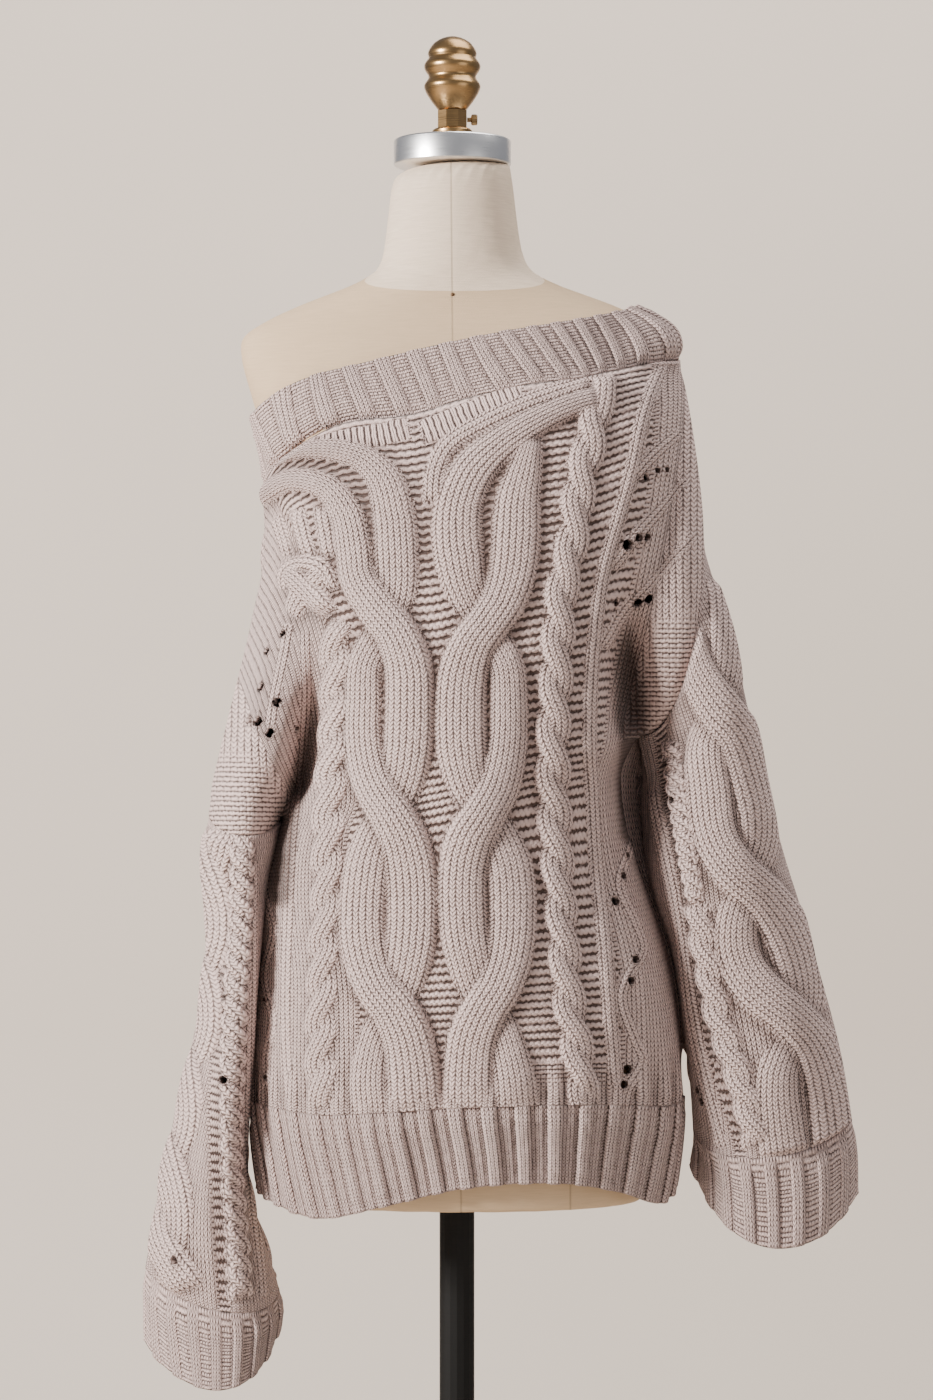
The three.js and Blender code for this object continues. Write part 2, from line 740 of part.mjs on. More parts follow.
const hemRows = [1, 1.1, 2];
for (const [side, panel] of [['front', front], ['back', back]]) {
  const columns = ribColumns(0, PANEL_WALES, HEM_RIBS_EACH);
  addPiece(
    `hem_rib_${side}`,
    columns,
    hemRows,
    (wale, level) => (level === 1 ? alongEdge(panel, panelRows.length - 1, wale, panel.points)
      : bodyPoint(side, wale, level)),
    side === 'back',
    {
      relief: (wale, level) => ribHeight(columns.indexOf(wale), level - 1),
      edgeNormals: { row: 0, at: (wale) => alongEdge(panel, panelRows.length - 1, wale, panel.normals) },
    },
  );
}

const SLEEVE_STEPS = 16;
const sleeveRows = steps(0, 1, SLEEVE_STEPS);
const sleeveColumns = steps(0, 1, YOKE_STEPS);

const sleeveCables = table('from to crossings rise', [
  [0.12, 0.58, 3.3, 7],
  [0.64, 0.86, 8, 4],
]);

// A sleeve's relief: one wide cable along its front, and a rope beside it.
function sleeveRelief(turn, level) {
  const edge = THREE.MathUtils.smoothstep(level, 0, 0.06) * (1 - THREE.MathUtils.smoothstep(level, 0.94, 1));
  const cable = sleeveCables.find((c) => turn > c.from && turn < c.to);
  if (!cable) return 0;
  const across = (turn - cable.from) / (cable.to - cable.from);
  return edge * cableHeight(across, Math.PI * level * cable.crossings, cable.rise);
}

for (const which of ['left', 'right']) {
  for (const side of ['front', 'back']) {
    addPiece(
      `sleeve_${which}_${side}`,
      sleeveColumns,
      sleeveRows,
      (turn, level) => sleevePoint(which, side, turn, level),
      (side === 'back') !== (which === 'right'),
      { relief: sleeveRelief },
    );
  }
}

// A cuff is one ring: turn 0 to 1 over the front, 1 to 2 over the back.
function cuffPoint(which, turn, level, sleeveParts) {
  const over = turn <= 1;
  if (level === 1) return sleeveEndAt(turn, sleeveParts, 'points');
  return sleevePoint(which, over ? 'front' : 'back', over ? turn : 2 - turn, level);
}

// The sleeve's last row at a cuff's turn: its points or its normals.
function sleeveEndAt(turn, sleeveParts, what) {
  const over = turn <= 1;
  const part = over ? sleeveParts[0] : sleeveParts[1];
  return alongEdge(part, part.rows.length - 1, over ? turn : 2 - turn, part[what]);
}

const cuffRows = [1, 1.1, 2];
for (const which of ['left', 'right']) {
  const parts = pieces.filter((piece) => piece.name.startsWith(`sleeve_${which}`));
  const columns = ribColumns(0, 2, CUFF_RIBS);
  addPiece(
    `cuff_${which}`,
    columns,
    cuffRows,
    (turn, level) => cuffPoint(which, turn, level, parts),
    which === 'right',
    {
      relief: (turn, level) => ribHeight(columns.indexOf(turn), level - 1),
      ring: true,
      edgeNormals: { row: 0, at: (turn) => sleeveEndAt(turn, parts, 'normals') },
    },
  );
}

// The neck band's free edge over the front and over the back, and how far the band swells outwards
// between its edges, which it does where it passes over the form's shoulder.
const bandTop = table('wale x y z swellX swellZ', [
  [36.5, -172.5, 2, 1277, 0, 0],
  [43, -133, -55, 1304, 0, 0],
  [48, -98, -76, 1318, 0, 0],
  [54, -50, -84, 1330, 0, 0],
  [60, -2, -86, 1341, 0, 0],
  [66, 42, -84, 1350, 0, 0],
  [72, 80, -76, 1357, 0, 0],
  [78, 113, -62, 1364, 1, 1],
  [84, 140, -38, 1372, 6, 5],
  [87, 150, -20, 1377, 12, 9],
  [90, 156, 2, 1380, 15, 12],
]);
const bandTopBack = table('wale x y z swellX swellZ', [
  [36.5, -172.5, 2, 1277, 0, 0],
  [43, -130, 56, 1310, 0, 0],
  [48, -92, 76, 1332, 0, 0],
  [54, -44, 84, 1348, 0, 0],
  [60, 4, 86, 1358, 0, 0],
  [66, 48, 84, 1365, 0, 0],
  [72, 84, 76, 1370, 0, 0],
  [78, 114, 62, 1374, 1, 1],
  [84, 140, 38, 1377, 6, 5],
  [87, 150, 22, 1379, 12, 9],
  [90, 156, 2, 1380, 15, 12],
]);

const bandSpan = BAND_RIGHT_WALE - BAND_LEFT_WALE;
const bandRows = [0, 0.4, 0.9, 1];

// The band's ring: turn 0 to 1 over the front from the left end, 1 to 2 back again behind.
function bandPoint(turn, height) {
  const over = turn <= 1;
  const share = over ? turn : 2 - turn;
  const wale = BAND_LEFT_WALE + share * bandSpan;
  const panel = over ? front : back;
  const low = alongEdge(panel, 0, wale, panel.points);
  if (height === 1) return low;
  const top = rowAt(over ? bandTop : bandTopBack, 'wale', wale);
  const swell = 4 * height * (1 - height);
  const p = vec(top.x, top.y, top.z).lerp(low, height);
  p.x += top.swellX * swell;
  p.z += top.swellZ * swell;
  return clearOfForm(p, WALL + REST_CLEARANCE);
}

function bandEdgeNormal(turn) {
  const over = turn <= 1;
  const share = over ? turn : 2 - turn;
  const panel = over ? front : back;
  return alongEdge(panel, 0, BAND_LEFT_WALE + share * bandSpan, panel.normals);
}

const bandColumns = ribColumns(0, 2, BAND_RIBS);
addPiece(
  'neck_band',
  bandColumns,
  bandRows,
  bandPoint,
  false,
  {
    relief: (turn, height) => ribHeight(bandColumns.indexOf(turn), 1 - height),
    ring: true,
    edgeNormals: { row: bandRows.length - 1, at: bandEdgeNormal },
    trim: BAND_TRIM,
  },
);

// Eyelets of the lace leaves, the largest of each repeat: each leaf is a slanted line of eyelets, from
// the wale and row given, with steps between them.
const EYELETS_IN_LEAF = 3;
const frontLeaves = table('wale row waleStep rowStep', [
  [88, 0.2, 2, -0.018],
  [94, 0.29, -2, -0.018],
  [88, 0.38, 2, -0.018],
  [88, 0.66, 2, -0.02],
  [93, 0.77, -2, -0.02],
  [88, 0.88, 2, -0.02],
  [15, 0.1, 2, 0.018],
  [19, 0.22, -2, 0.018],
  [15, 0.7, 2, -0.02],
]);
const backLeaves = table('wale row waleStep rowStep', [
  [88, 0.25, 2, -0.018],
  [93, 0.7, -2, -0.02],
  [88, 0.84, 2, -0.02],
  [15, 0.15, 2, 0.018],
  [19, 0.7, -2, -0.02],
  [15, 0.84, 2, -0.02],
]);
const sleeveLeaves = table('turn level turnStep levelStep', [
  [0.9, 0.16, 0.02, 0.022],
]);

function leafEyelets(leaves, across, down, acrossStep, downStep) {
  return leaves.flatMap((leaf) => Array.from({ length: EYELETS_IN_LEAF }, (_, i) => [
    leaf[across] + i * leaf[acrossStep],
    leaf[down] + i * leaf[downStep],
  ]));
}

// A place on a piece's grid: the point of its base surface and the way out of it.
function placeOn(piece, column, row) {
  let j = 0;
  while (j < piece.rows.length - 2 && row > piece.rows[j + 1]) j += 1;
  const t = (row - piece.rows[j]) / (piece.rows[j + 1] - piece.rows[j]);
  const at = (list) => alongEdge(piece, j, column, list).lerp(alongEdge(piece, j + 1, column, list), t);
  return { point: at(piece.points), normal: at(piece.normals).normalize() };
}

pieces.forEach(finishNormals);

const holesOf = (piece) => {
  if (piece === front) return leafEyelets(frontLeaves, 'wale', 'row', 'waleStep', 'rowStep');
  if (piece === back) return leafEyelets(backLeaves, 'wale', 'row', 'waleStep', 'rowStep');
  if (piece.name.startsWith('sleeve')) {
    return leafEyelets(sleeveLeaves, 'turn', 'level', 'turnStep', 'levelStep');
  }
  return [];
};

// The torso is a stack of its sections, closed at the foot and at the top of the neck. It may be made
// larger all round by a clearance.
const TORSO_SIDES = 28;
const torsoLevels = [613, 618, 680, 750, 820, 890, 950, 1010, 1070, 1130, 1185, 1235, 1270,
  1305, 1335, 1353, 1368, 1382, 1395, 1408, 1425, 1465, 1500];
const FOOT_BEVEL = 5;
const FORM_GAP = 0.45;

function torsoGeometry(clearance) {
  const vertices = [];
  for (const z of torsoLevels) {
    const s = rowAt(torsoSections, 'z', z);
    const inset = z === FORM_FOOT ? FOOT_BEVEL : 0;
    for (let i = 0; i < TORSO_SIDES; i += 1) {
      const angle = (2 * Math.PI * i) / TORSO_SIDES;
      const c = Math.cos(angle);
      const d = Math.sin(angle);
      const depth = d < 0 ? s.front : s.back;
      vertices.push(vec(
        (s.half - inset + clearance) * Math.sign(c) * Math.abs(c) ** (2 / s.square) - s.lean,
        (depth - inset + clearance) * Math.sign(d) * Math.abs(d) ** (2 / s.square),
        z + clearance / 2,
      ));
    }
  }
  const triangles = [];
  const top = (torsoLevels.length - 1) * TORSO_SIDES;
  for (let i = 0; i < TORSO_SIDES; i += 1) {
    const k = (i + 1) % TORSO_SIDES;
    for (let j = 0; j < top; j += TORSO_SIDES) {
      triangles.push([i + j, k + j, k + j + TORSO_SIDES], [i + j, k + j + TORSO_SIDES, i + j + TORSO_SIDES]);
    }
  }
  for (let i = 1; i < TORSO_SIDES - 1; i += 1) {
    triangles.push([0, i + 1, i], [top, top + i, top + i + 1]);
  }
  return trianglesToGeometry(vertices, triangles);
}

const formWithClearance = solidOf(torsoGeometry(FORM_GAP));

// Cloth with its eyelets cut through, and hollowed where it lies on the form.
function clothGeometry(piece) {
  let solid = solidOf(wallGeometry(piece));
  for (const [column, row] of holesOf(piece)) {
    const { point, normal } = placeOn(piece, column, row);
    solid = solid.subtract(solidOf(eyeletPin(point, normal, EYELET)));
  }
  return geometryOf(solid.subtract(formWithClearance));
}

function material(color, roughness, metalness) {
  return new THREE.MeshStandardMaterial({ color, roughness, metalness });
}

const wool = material(WOOL, 0.95, 0);
const linen = material(LINEN, 0.85, 0);
const steel = material(STEEL, 0.3, 1);
const brass = material(BRASS, 0.4, 0.9);
const black = material(BLACK, 0.45, 0.2);

function addMesh(group, name, geometry, meshMaterial) {
  const mesh = new THREE.Mesh(geometry, meshMaterial);
  mesh.name = name;
  group.add(mesh);
  return mesh;
}

// A turned piece: its profile is a list of radii and heights from the axis at its foot to the axis at
// its top.
function turned(profile, sides) {
  const points = profile.map(([radius, height]) => new THREE.Vector2(radius, height));
  const geometry = new THREE.LatheGeometry(points, sides);
  geometry.rotateX(Math.PI / 2);
  return geometry;
}

const NECK_LEAN = 4;
const TOUCH = 0.3;
const RING_FOOT = NECK_TOP + TOUCH;
const RING_TOP = RING_FOOT + RING_HEIGHT;
const FLANGE_RADIUS = 17.2;
const FLANGE_FOOT = RING_TOP + TOUCH;
const FLANGE_TOP = FLANGE_FOOT + 9.5;
const COLLAR_RADIUS = 13.4;
const COLLAR_FOOT = FLANGE_TOP + TOUCH;
const COLLAR_TOP = COLLAR_FOOT + 15;
const FINIAL_FOOT = COLLAR_TOP + TOUCH;
const BASE_SIDES = 32;
const POLE_SIDES = 16;
const FINIAL_SIDES = 16;

const finialProfile = [
  [0, 0], [12, 0], [14.5, 3.5], [20.5, 12], [23.6, 18], [24.3, 21.5], [21, 28],
  [20.8, 31], [24, 38.5], [20.4, 45.5], [21.2, 49], [16, 58.5], [8, 63], [0, 64],
];
const flangeProfile = [
  [0, 0], [FLANGE_RADIUS - 1, 0], [FLANGE_RADIUS - 1, 2.6], [FLANGE_RADIUS, 3.4], [FLANGE_RADIUS, 8],
  [FLANGE_RADIUS - 2.2, 9.5], [0, 9.5],
];
const ringProfile = [
  [0, 0], [RING_RADIUS - 1, 0], [RING_RADIUS, 1.2], [RING_RADIUS, RING_HEIGHT - 1.5],
  [RING_RADIUS - 1.5, RING_HEIGHT], [0, RING_HEIGHT],
];
const baseProfile = [
  [0, 0], [BASE_RADIUS - 2, 0], [BASE_RADIUS, 2], [BASE_RADIUS, BASE_THICKNESS - 5],
  [BASE_RADIUS - 5, BASE_THICKNESS], [0, BASE_THICKNESS],
];
const socketProfile = [
  [0, 0], [SOCKET_RADIUS + 12, 0], [SOCKET_RADIUS + 10, 5], [SOCKET_RADIUS, 12],
  [SOCKET_RADIUS, SOCKET_HEIGHT - 3], [SOCKET_RADIUS - 3, SOCKET_HEIGHT], [0, SOCKET_HEIGHT],
];
const KNOB_RADIUS = 4.8;
const screwProfile = [
  [0, 0], [2, 0], [2, 3.4], [KNOB_RADIUS - 1, 3.4], [KNOB_RADIUS, 4.4], [KNOB_RADIUS, 8],
  [KNOB_RADIUS - 1, 9], [0, 9],
];

const sweater = new THREE.Group();
for (const piece of pieces) addMesh(sweater, piece.name, clothGeometry(piece), wool);

const dressForm = new THREE.Group();
addMesh(dressForm, 'form_torso', torsoGeometry(0), linen);

const neckFittings = new THREE.Group();
neckFittings.position.x = -NECK_LEAN;
addMesh(neckFittings, 'neck_ring', turned(ringProfile, BASE_SIDES), steel).position.z = RING_FOOT;
addMesh(neckFittings, 'finial_flange', turned(flangeProfile, FINIAL_SIDES), brass).position.z = FLANGE_FOOT;
const collar = new THREE.CylinderGeometry(COLLAR_RADIUS, COLLAR_RADIUS, COLLAR_TOP - COLLAR_FOOT, 8);
collar.rotateX(Math.PI / 2);
collar.rotateZ(Math.PI / 8);
addMesh(neckFittings, 'finial_collar', collar, brass).position.z = (COLLAR_FOOT + COLLAR_TOP) / 2;
addMesh(neckFittings, 'finial', turned(finialProfile, FINIAL_SIDES), brass).position.z = FINIAL_FOOT;
const screw = addMesh(neckFittings, 'thumb_screw', turned(screwProfile, 8), brass);
screw.rotation.y = Math.PI / 2;
screw.position.set(COLLAR_RADIUS * Math.cos(Math.PI / 8) + TOUCH, 0, (COLLAR_FOOT + COLLAR_TOP) / 2);
dressForm.add(neckFittings);

const stand = new THREE.Group();
addMesh(stand, 'base', turned(baseProfile, BASE_SIDES), black);
const SOCKET_FOOT = BASE_THICKNESS + TOUCH;
addMesh(stand, 'pole_socket', turned(socketProfile, POLE_SIDES), black).position.z = SOCKET_FOOT;
const POLE_FOOT = SOCKET_FOOT + SOCKET_HEIGHT + TOUCH;
const poleProfile = [[0, 0], [POLE_RADIUS, 0], [POLE_RADIUS, FORM_FOOT - TOUCH - POLE_FOOT],
  [0, FORM_FOOT - TOUCH - POLE_FOOT]];
addMesh(stand, 'pole', turned(poleProfile, POLE_SIDES), black).position.z = POLE_FOOT;

const part = new THREE.Group();
part.add(sweater, dressForm, stand);

export default part;
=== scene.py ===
"""Cable knit sweater worn off one shoulder on a limbless dress form.

The garment's sheets are laid out in millimetres from the same tables as the solids, and turned into metres
when a mesh is made. +Z is up and the front faces -Y.
"""

import math

import bpy
import numpy as np
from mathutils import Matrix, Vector


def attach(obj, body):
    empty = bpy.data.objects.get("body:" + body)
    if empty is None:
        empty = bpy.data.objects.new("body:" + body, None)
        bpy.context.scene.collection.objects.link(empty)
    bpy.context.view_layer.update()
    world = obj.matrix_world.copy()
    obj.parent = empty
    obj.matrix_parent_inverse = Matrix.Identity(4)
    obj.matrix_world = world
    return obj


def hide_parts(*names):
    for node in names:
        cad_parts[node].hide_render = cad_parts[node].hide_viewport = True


bl_info = {
    "name": "Cable Knit Sweater",
    "version": (1, 0, 0),
    "blender": (4, 5, 0),
    "location": "View3D > Sidebar > Sweater",
    "description": "Builds a cable knit sweater on its dress form",
    "category": "Object",
}

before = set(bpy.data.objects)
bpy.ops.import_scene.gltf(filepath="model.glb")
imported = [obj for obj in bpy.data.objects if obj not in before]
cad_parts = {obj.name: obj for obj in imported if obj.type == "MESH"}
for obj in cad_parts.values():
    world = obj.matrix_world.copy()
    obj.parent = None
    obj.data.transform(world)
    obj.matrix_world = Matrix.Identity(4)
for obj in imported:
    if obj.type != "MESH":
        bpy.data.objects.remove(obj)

MM = 0.001
# The camera's place in mm, and the front view's chart: its mm a unit and its middle.
EYE_X = 8.2
EYE_Z = 1041
EYE_DISTANCE = 3000
CHART_SCALE = 0.86
CHART_CENTRE = (466.5, 700)
# The knitting's counts: wales across a panel, where the neck band starts and ends on them, and ribs.
PANEL_WALES = 108
CENTRE_WALE = 54
BAND_LEFT_WALE = 36.5
BAND_RIGHT_WALE = 90
BAND_RIBS = 32
HEM_RIBS_EACH = 19
HEM_DEPTH = 1.9
CUFF_RIBS = 16
# Where things lie, in mm or in shares of the panel's height, and how far cloth is held off the form.
UNDERARM_ROW = 0.53
ARMHOLE_FADE = 0.2
SIDE_Y = 2
HANDLE = 4 / 3
FORM_FOOT = 613
NECK_TOP = 1500
REST = 5.5
LONGEST_PUSH = 12
# How the stitches are laid out on the chart and worked into the meshes.
RELAX_PASSES = 26
# Passes that even out the relief to find its hollows, where shade is painted.
HOLLOW_SHADE_PASSES = 24
CLOTH_THICKNESS = 3.2
NOWHERE = -1e3
STRAND_STEP = 3.0
TWIST_STEP = 4.0
END_FADE = 8
HEM_FADE = 40
HEM_SEEN = 1100
LAID_AT_ONCE = 4096
DOME_POWER = 2.4
STRAND_EDGE = 1.12
EDGE_DROP = 14
EYELET_MISS = 10
EYELET_RIM = 2.2
# How deep in mm a hollow lies where its painted shade is full.
HOLLOW_SHADE_DEPTH = 3.5
STITCH_WIDE = 6.5
STITCH_HIGH = 4.8
CABLE_STITCH = 4.3
BAR_WIDE = 6.4
PANEL_STITCH_ROWS = 165
BACK_PITCH = 5.5
BACK_MIDDLE = PANEL_WALES * BACK_PITCH / 2
BACK_HEIGHT = 720
SLEEVE_WIDTH = 260
SLEEVE_ROW = 2.6
# The dress form's pin, linen and seams, and the sweep of the backdrop.
PIN = (-3.6, 1384)
PIN_RADIUS = 0.0016
SWEEP = 0.6
THREAD = 0.0009
THREAD_RADIUS = 0.12
SEAM_HALF = 0.0012


class Curve:
    """A table whose named columns run smoothly over its first column."""

    def __init__(self, columns, rows):
        data = np.array(rows, dtype=float)
        self.names = columns.split()[1:]
        self.key = data[:, 0]
        self.values = data[:, 1:]
        key = self.key[:, None]
        slopes = np.empty_like(self.values)
        slopes[1:-1] = (self.values[2:] - self.values[:-2]) / (key[2:] - key[:-2])
        slopes[0] = (self.values[1] - self.values[0]) / (key[1] - key[0])
        slopes[-1] = (self.values[-1] - self.values[-2]) / (key[-1] - key[-2])
        self.slopes = slopes

    def at(self, x):
        """Each named column at x, which may be an array."""
        x = np.asarray(x, dtype=float)
        i = np.clip(np.searchsorted(self.key, x, side="right") - 1, 0, len(self.key) - 2)
        span = (self.key[i + 1] - self.key[i])[..., None]
        t = (x - self.key[i])[..., None] / span
        a, b = self.values[i], self.values[i + 1]
        sa, sb = self.slopes[i], self.slopes[i + 1]
        c = 3 * (b - a) - span * (2 * sa + sb)
        d = 2 * (a - b) + span * (sa + sb)
        found = a + t * (span * sa + t * (c + t * d))
        return {name: found[..., k] for k, name in enumerate(self.names)}


def smoothstep(x, low, high):
    """0 below low and 1 above high, or the other way round."""
    t = np.clip((np.asarray(x, dtype=float) - low) / (high - low), 0, 1)
    return t * t * (3 - 2 * t)


def points(x, y, z):
    """One array of points from three arrays or numbers."""
    return np.stack(np.broadcast_arrays(x, y, z), axis=-1).astype(float)


def bezier(p0, p1, p2, p3, t):
    t = np.asarray(t, dtype=float)[..., None]
    s = 1 - t
    return p0 * s**3 + p1 * 3 * s * s * t + p2 * 3 * s * t * t + p3 * t**3


TORSO = Curve("z half front back square lean", [
    [613, 163, 105, 98, 2.2, 0],
    [700, 169, 110, 106, 2.2, 0],
    [800, 164, 106, 112, 2.2, 0],
    [880, 146, 96, 104, 2.2, 0],
    [950, 122, 88, 92, 2.2, 0],
    [1010, 110, 84, 84, 2.2, 0],
    [1070, 117, 90, 84, 2.2, 0],
    [1130, 134, 100, 88, 2.2, 0],
    [1190, 147, 110, 92, 2.2, 0],
    [1240, 158, 103, 94, 2.3, 0],
    [1283, 172, 91, 92, 2.6, 0],
    [1320, 182, 77, 85, 2.8, 0],
    [1353, 187, 60, 72, 2.6, 0],
    [1370, 158, 53, 64, 2.3, 0],
    [1384, 126, 50, 59, 2.1, 0],
    [1394, 96, 50, 56, 2, 1],
    [1404, 71, 51, 55, 2, 2],
    [1414, 62.5, 52, 54, 2, 3],
    [1435, 57.5, 52, 52, 2, 4],
    [1465, 54.4, 51, 51, 2, 4],
    [1500, 51, 50, 50, 2, 4],
])

BODY = Curve("level leftX leftZ rightX rightZ front back", [
    [0, -149, 942, 155, 1010, 126, 104],
    [0.12, -157, 915, 141, 975, 127, 106],
    [0.3, -165, 870, 152, 905, 128, 110],
    [0.55, -168, 805, 181, 826, 131, 117],
    [0.78, -173, 752, 191, 762, 132, 120],
    [1, -175, 700, 193, 702, 132, 120],
    [1.5, -174, 660, 191, 662, 128, 117],
    [2, -171, 622, 187, 626, 125, 114],
])
HEM_DROP = Curve("share drop", [
    [0, 0], [0.12, 6], [0.24, 14], [0.36, 1], [0.5, -14], [0.66, -16], [0.78, -4], [0.88, 10], [1, 0],
])
LEFT_SHOULDER = Curve("wale x y z", [
    [0, -213.3, 2, 945.5],
    [8, -203, 2, 995],
    [16, -189, 2, 1055],
    [24, -175, 2, 1118],
    [30, -166, 2, 1165],
    [36.5, -167, 2, 1225],
])
RIGHT_SHOULDER = Curve("wale x y z", [
    [90, 191, 2, 1334],
    [96, 199.5, 2, 1284],
    [102, 208, 2, 1228],
    [108, 213.3, 2, 1170],
])
NECK_LINE = {
    "front": Curve("wale x y z", [
        [36.5, -167, 2, 1225],
        [40, -156, -34, 1237],
        [43, -137, -56, 1249],
        [48, -95.6, -82, 1270],
        [54, -42, -94, 1277],
        [60, 3, -98, 1291],
        [66, 59, -97, 1303.7],
        [72, 100, -88, 1309.5],
        [78, 126, -76, 1316],
        [84, 156, -54, 1323],
        [87, 177, -31, 1328],
        [90, 191, 2, 1334],
    ]),
    "back": Curve("wale x y z", [
        [36.5, -167, 2, 1225],
        [40, -154, 36, 1242],
        [43, -134, 58, 1262],
        [48, -92, 82, 1288],
        [54, -36, 94, 1304],
        [60, 12, 97, 1314],
        [66, 62, 94, 1322],
        [72, 101, 86, 1326],
        [78, 128, 74, 1328],
        [84, 158, 54, 1327],
        [87, 178, 33, 1330],
        [90, 191, 2, 1334],
    ]),
}
YOKE = {
    "front": Curve("wale outX outY outZ upX upY upZ", [
        [0, 4, -104, -22, 4, -104, -22],
        [8, 8, -96, -22, -16, -84, 8],
        [16, 14, -88, -24, -26, -52, 48],
        [24, 24, -84, -30, -20, -18, 88],
        [30, 34, -80, -38, -10, -2, 100],
        [36.5, 28, -66, -26, -4, 0, 108],
        [43, 6, -38, -44, 0, 0, 110],
        [48, 2, -30, -62, 0, 0, 110],
        [54, 0, -28, -84, 0, 0, 110],
        [60, 0, -28, -90, 0, 0, 112],
        [66, 2, -30, -88, 2, 0, 112],
        [72, 6, -34, -82, 6, 0, 108],
        [78, 12, -42, -72, 10, 0, 104],
        [84, 16, -56, -58, 14, -4, 98],
        [87, 12, -54, -58, 16, -10, 90],
        [90, 8, -56, -52, 18, -20, 80],
        [96, 4, -84, -28, 26, -48, 50],
        [102, -4, -86, -20, 32, -72, 16],
        [108, -6, -84, -8, 44, -84, -4],
    ]),
    "back": Curve("wale outX outY outZ upX upY upZ", [
        [0, 4, 94, -6, 4, 94, -6],
        [8, 8, 88, -12, -16, 76, 10],
        [16, 14, 80, -18, -26, 48, 46],
        [24, 22, 76, -24, -20, 18, 86],
        [30, 30, 72, -30, -10, 4, 100],
        [36.5, 24, 62, -20, -4, 0, 108],
        [43, 6, 34, -44, 0, 0, 110],
        [48, 2, 22, -66, 0, 0, 112],
        [54, 0, 18, -88, 0, 0, 112],
        [60, 0, 18, -92, 0, 0, 112],
        [66, 2, 20, -92, 2, 0, 112],
        [72, 6, 26, -86, 6, 0, 108],
        [78, 12, 36, -76, 10, 2, 104],
        [84, 16, 52, -60, 14, 6, 98],
        [87, 12, 52, -58, 16, 12, 90],
        [90, 8, 56, -50, 18, 20, 80],
        [96, 4, 80, -28, 26, 46, 50],
        [102, -4, 82, -20, 32, 68, 16],
        [108, -6, 80, -8, 40, 80, -4],
    ]),
}
SLEEVES = {
    "left": Curve("level outX outZ inX inZ front back frontX frontZ backZ pinch", [
        [0, -213.3, 945.5, -149, 942, 78, 70.5, 4, -22, -6, 0],
        [0.07, -214, 912, -164, 900, 75, 70, 14, -18, -6, 0],
        [0.2, -213, 866, -172, 858, 74, 70, 22, -10, -4, 0],
        [0.42, -221, 783, -178, 777, 74, 70, 22, -6, 0, 0],
        [0.62, -235, 713, -182, 705, 73, 68, 20, -6, 0, 0],
        [0.82, -254, 626, -178, 620, 68, 60, 16, -10, 0, 0.06],
        [1, -268, 553, -153, 534, 62, 50, 16, -24, 0, 0.14],
        [1.5, -269, 520, -150, 514, 64, 50, 16, -36, 4, 0.2],
        [2, -268, 489, -151, 503, 66, 50, 16, -48, 6, 0.26],
    ]),
    "right": Curve("level outX outZ inX inZ front back frontX frontZ backZ pinch", [
        [0, 213.3, 1170, 154.8, 1010, 63, 60, 0, 0, 0, 0],
        [0.13, 235, 1084, 163, 972, 66, 62, 20, 0, 0, 0],
        [0.32, 257, 999, 164, 930, 66, 62, 8, 0, 0, 0],
        [0.5, 281, 910, 168, 880, 66, 60, -8, 0, 0, 0],
        [0.64, 299, 852, 186, 822, 64, 58, -20, 0, 0, 0],
        [0.82, 328, 748, 198, 738, 62, 54, -22, -8, 0, 0.06],
        [1, 340, 680, 203, 672, 60, 50, -18, -28, 0, 0.14],
        [1.5, 345, 648, 202, 656, 62, 50, -16, -46, 6, 0.2],
        [2, 346, 616, 199.5, 642, 64, 50, -14, -66, 8, 0.26],
    ]),
}
BAND_TOP = {
    "front": Curve("wale x y z swellX swellZ", [
        [36.5, -172.5, 2, 1277, 0, 0],
        [43, -133, -55, 1304, 0, 0],
        [48, -98, -76, 1318, 0, 0],
        [54, -50, -84, 1330, 0, 0],
        [60, -2, -86, 1341, 0, 0],
        [66, 42, -84, 1350, 0, 0],
        [72, 80, -76, 1357, 0, 0],
        [78, 113, -62, 1364, 1, 1],
        [84, 140, -38, 1372, 5, 3],
        [87, 150, -20, 1377, 8, 5],
        [90, 156, 2, 1380, 9, 6],
    ]),
    "back": Curve("wale x y z swellX swellZ", [
        [36.5, -172.5, 2, 1277, 0, 0],
        [43, -130, 56, 1310, 0, 0],
        [48, -92, 76, 1332, 0, 0],
        [54, -44, 84, 1348, 0, 0],
        [60, 4, 86, 1358, 0, 0],
        [66, 48, 84, 1365, 0, 0],
        [72, 84, 76, 1370, 0, 0],
        [78, 114, 62, 1374, 1, 1],
        [84, 140, 38, 1377, 5, 3],
        [87, 150, 22, 1379, 8, 5],
        [90, 156, 2, 1380, 9, 6],
    ]),
}
# The folds beside the body under the arms: their line down the front, and how far they reach in.
ARM_FOLDS = (
    Curve("z x share width", [
        [930, 150, 0.95, 17], [1000, 151, 0.95, 17], [1035, 148, 0.95, 17], [1075, 145, 0.85, 15],
        [1100, 144, 0.55, 12], [1125, 144, 0.2, 10], [1165, 142, 0, 10],
    ]),
    Curve("z x share width", [
        [880, -146, 0.9, 13], [940, -140, 0.9, 13], [975, -131, 0.85, 13], [1020, -123, 0.6, 13],
        [1060, -118, 0.25, 13], [1100, -117, 0, 13],
    ]),
)
ARM_WALES = 37
COLUMN_PARTS = (0, 20, 36.5, 80.5, 90, 108)
COLUMNS = {"front": (26, 36, 128, 22, 26), "back": (20, 24, 82, 16, 20)}
ROWS = {"front": 290, "back": 220}
BACK_FULLNESS = {"left": 54, "right": 104}
SLEEVE_HOLLOW = {"left": 8, "right": -22}
GUTTER_SHARE = {"front": 0.465, "back": 0.5}
LEFT_PITCH = 4.3
RIGHT_PITCH = 4.9


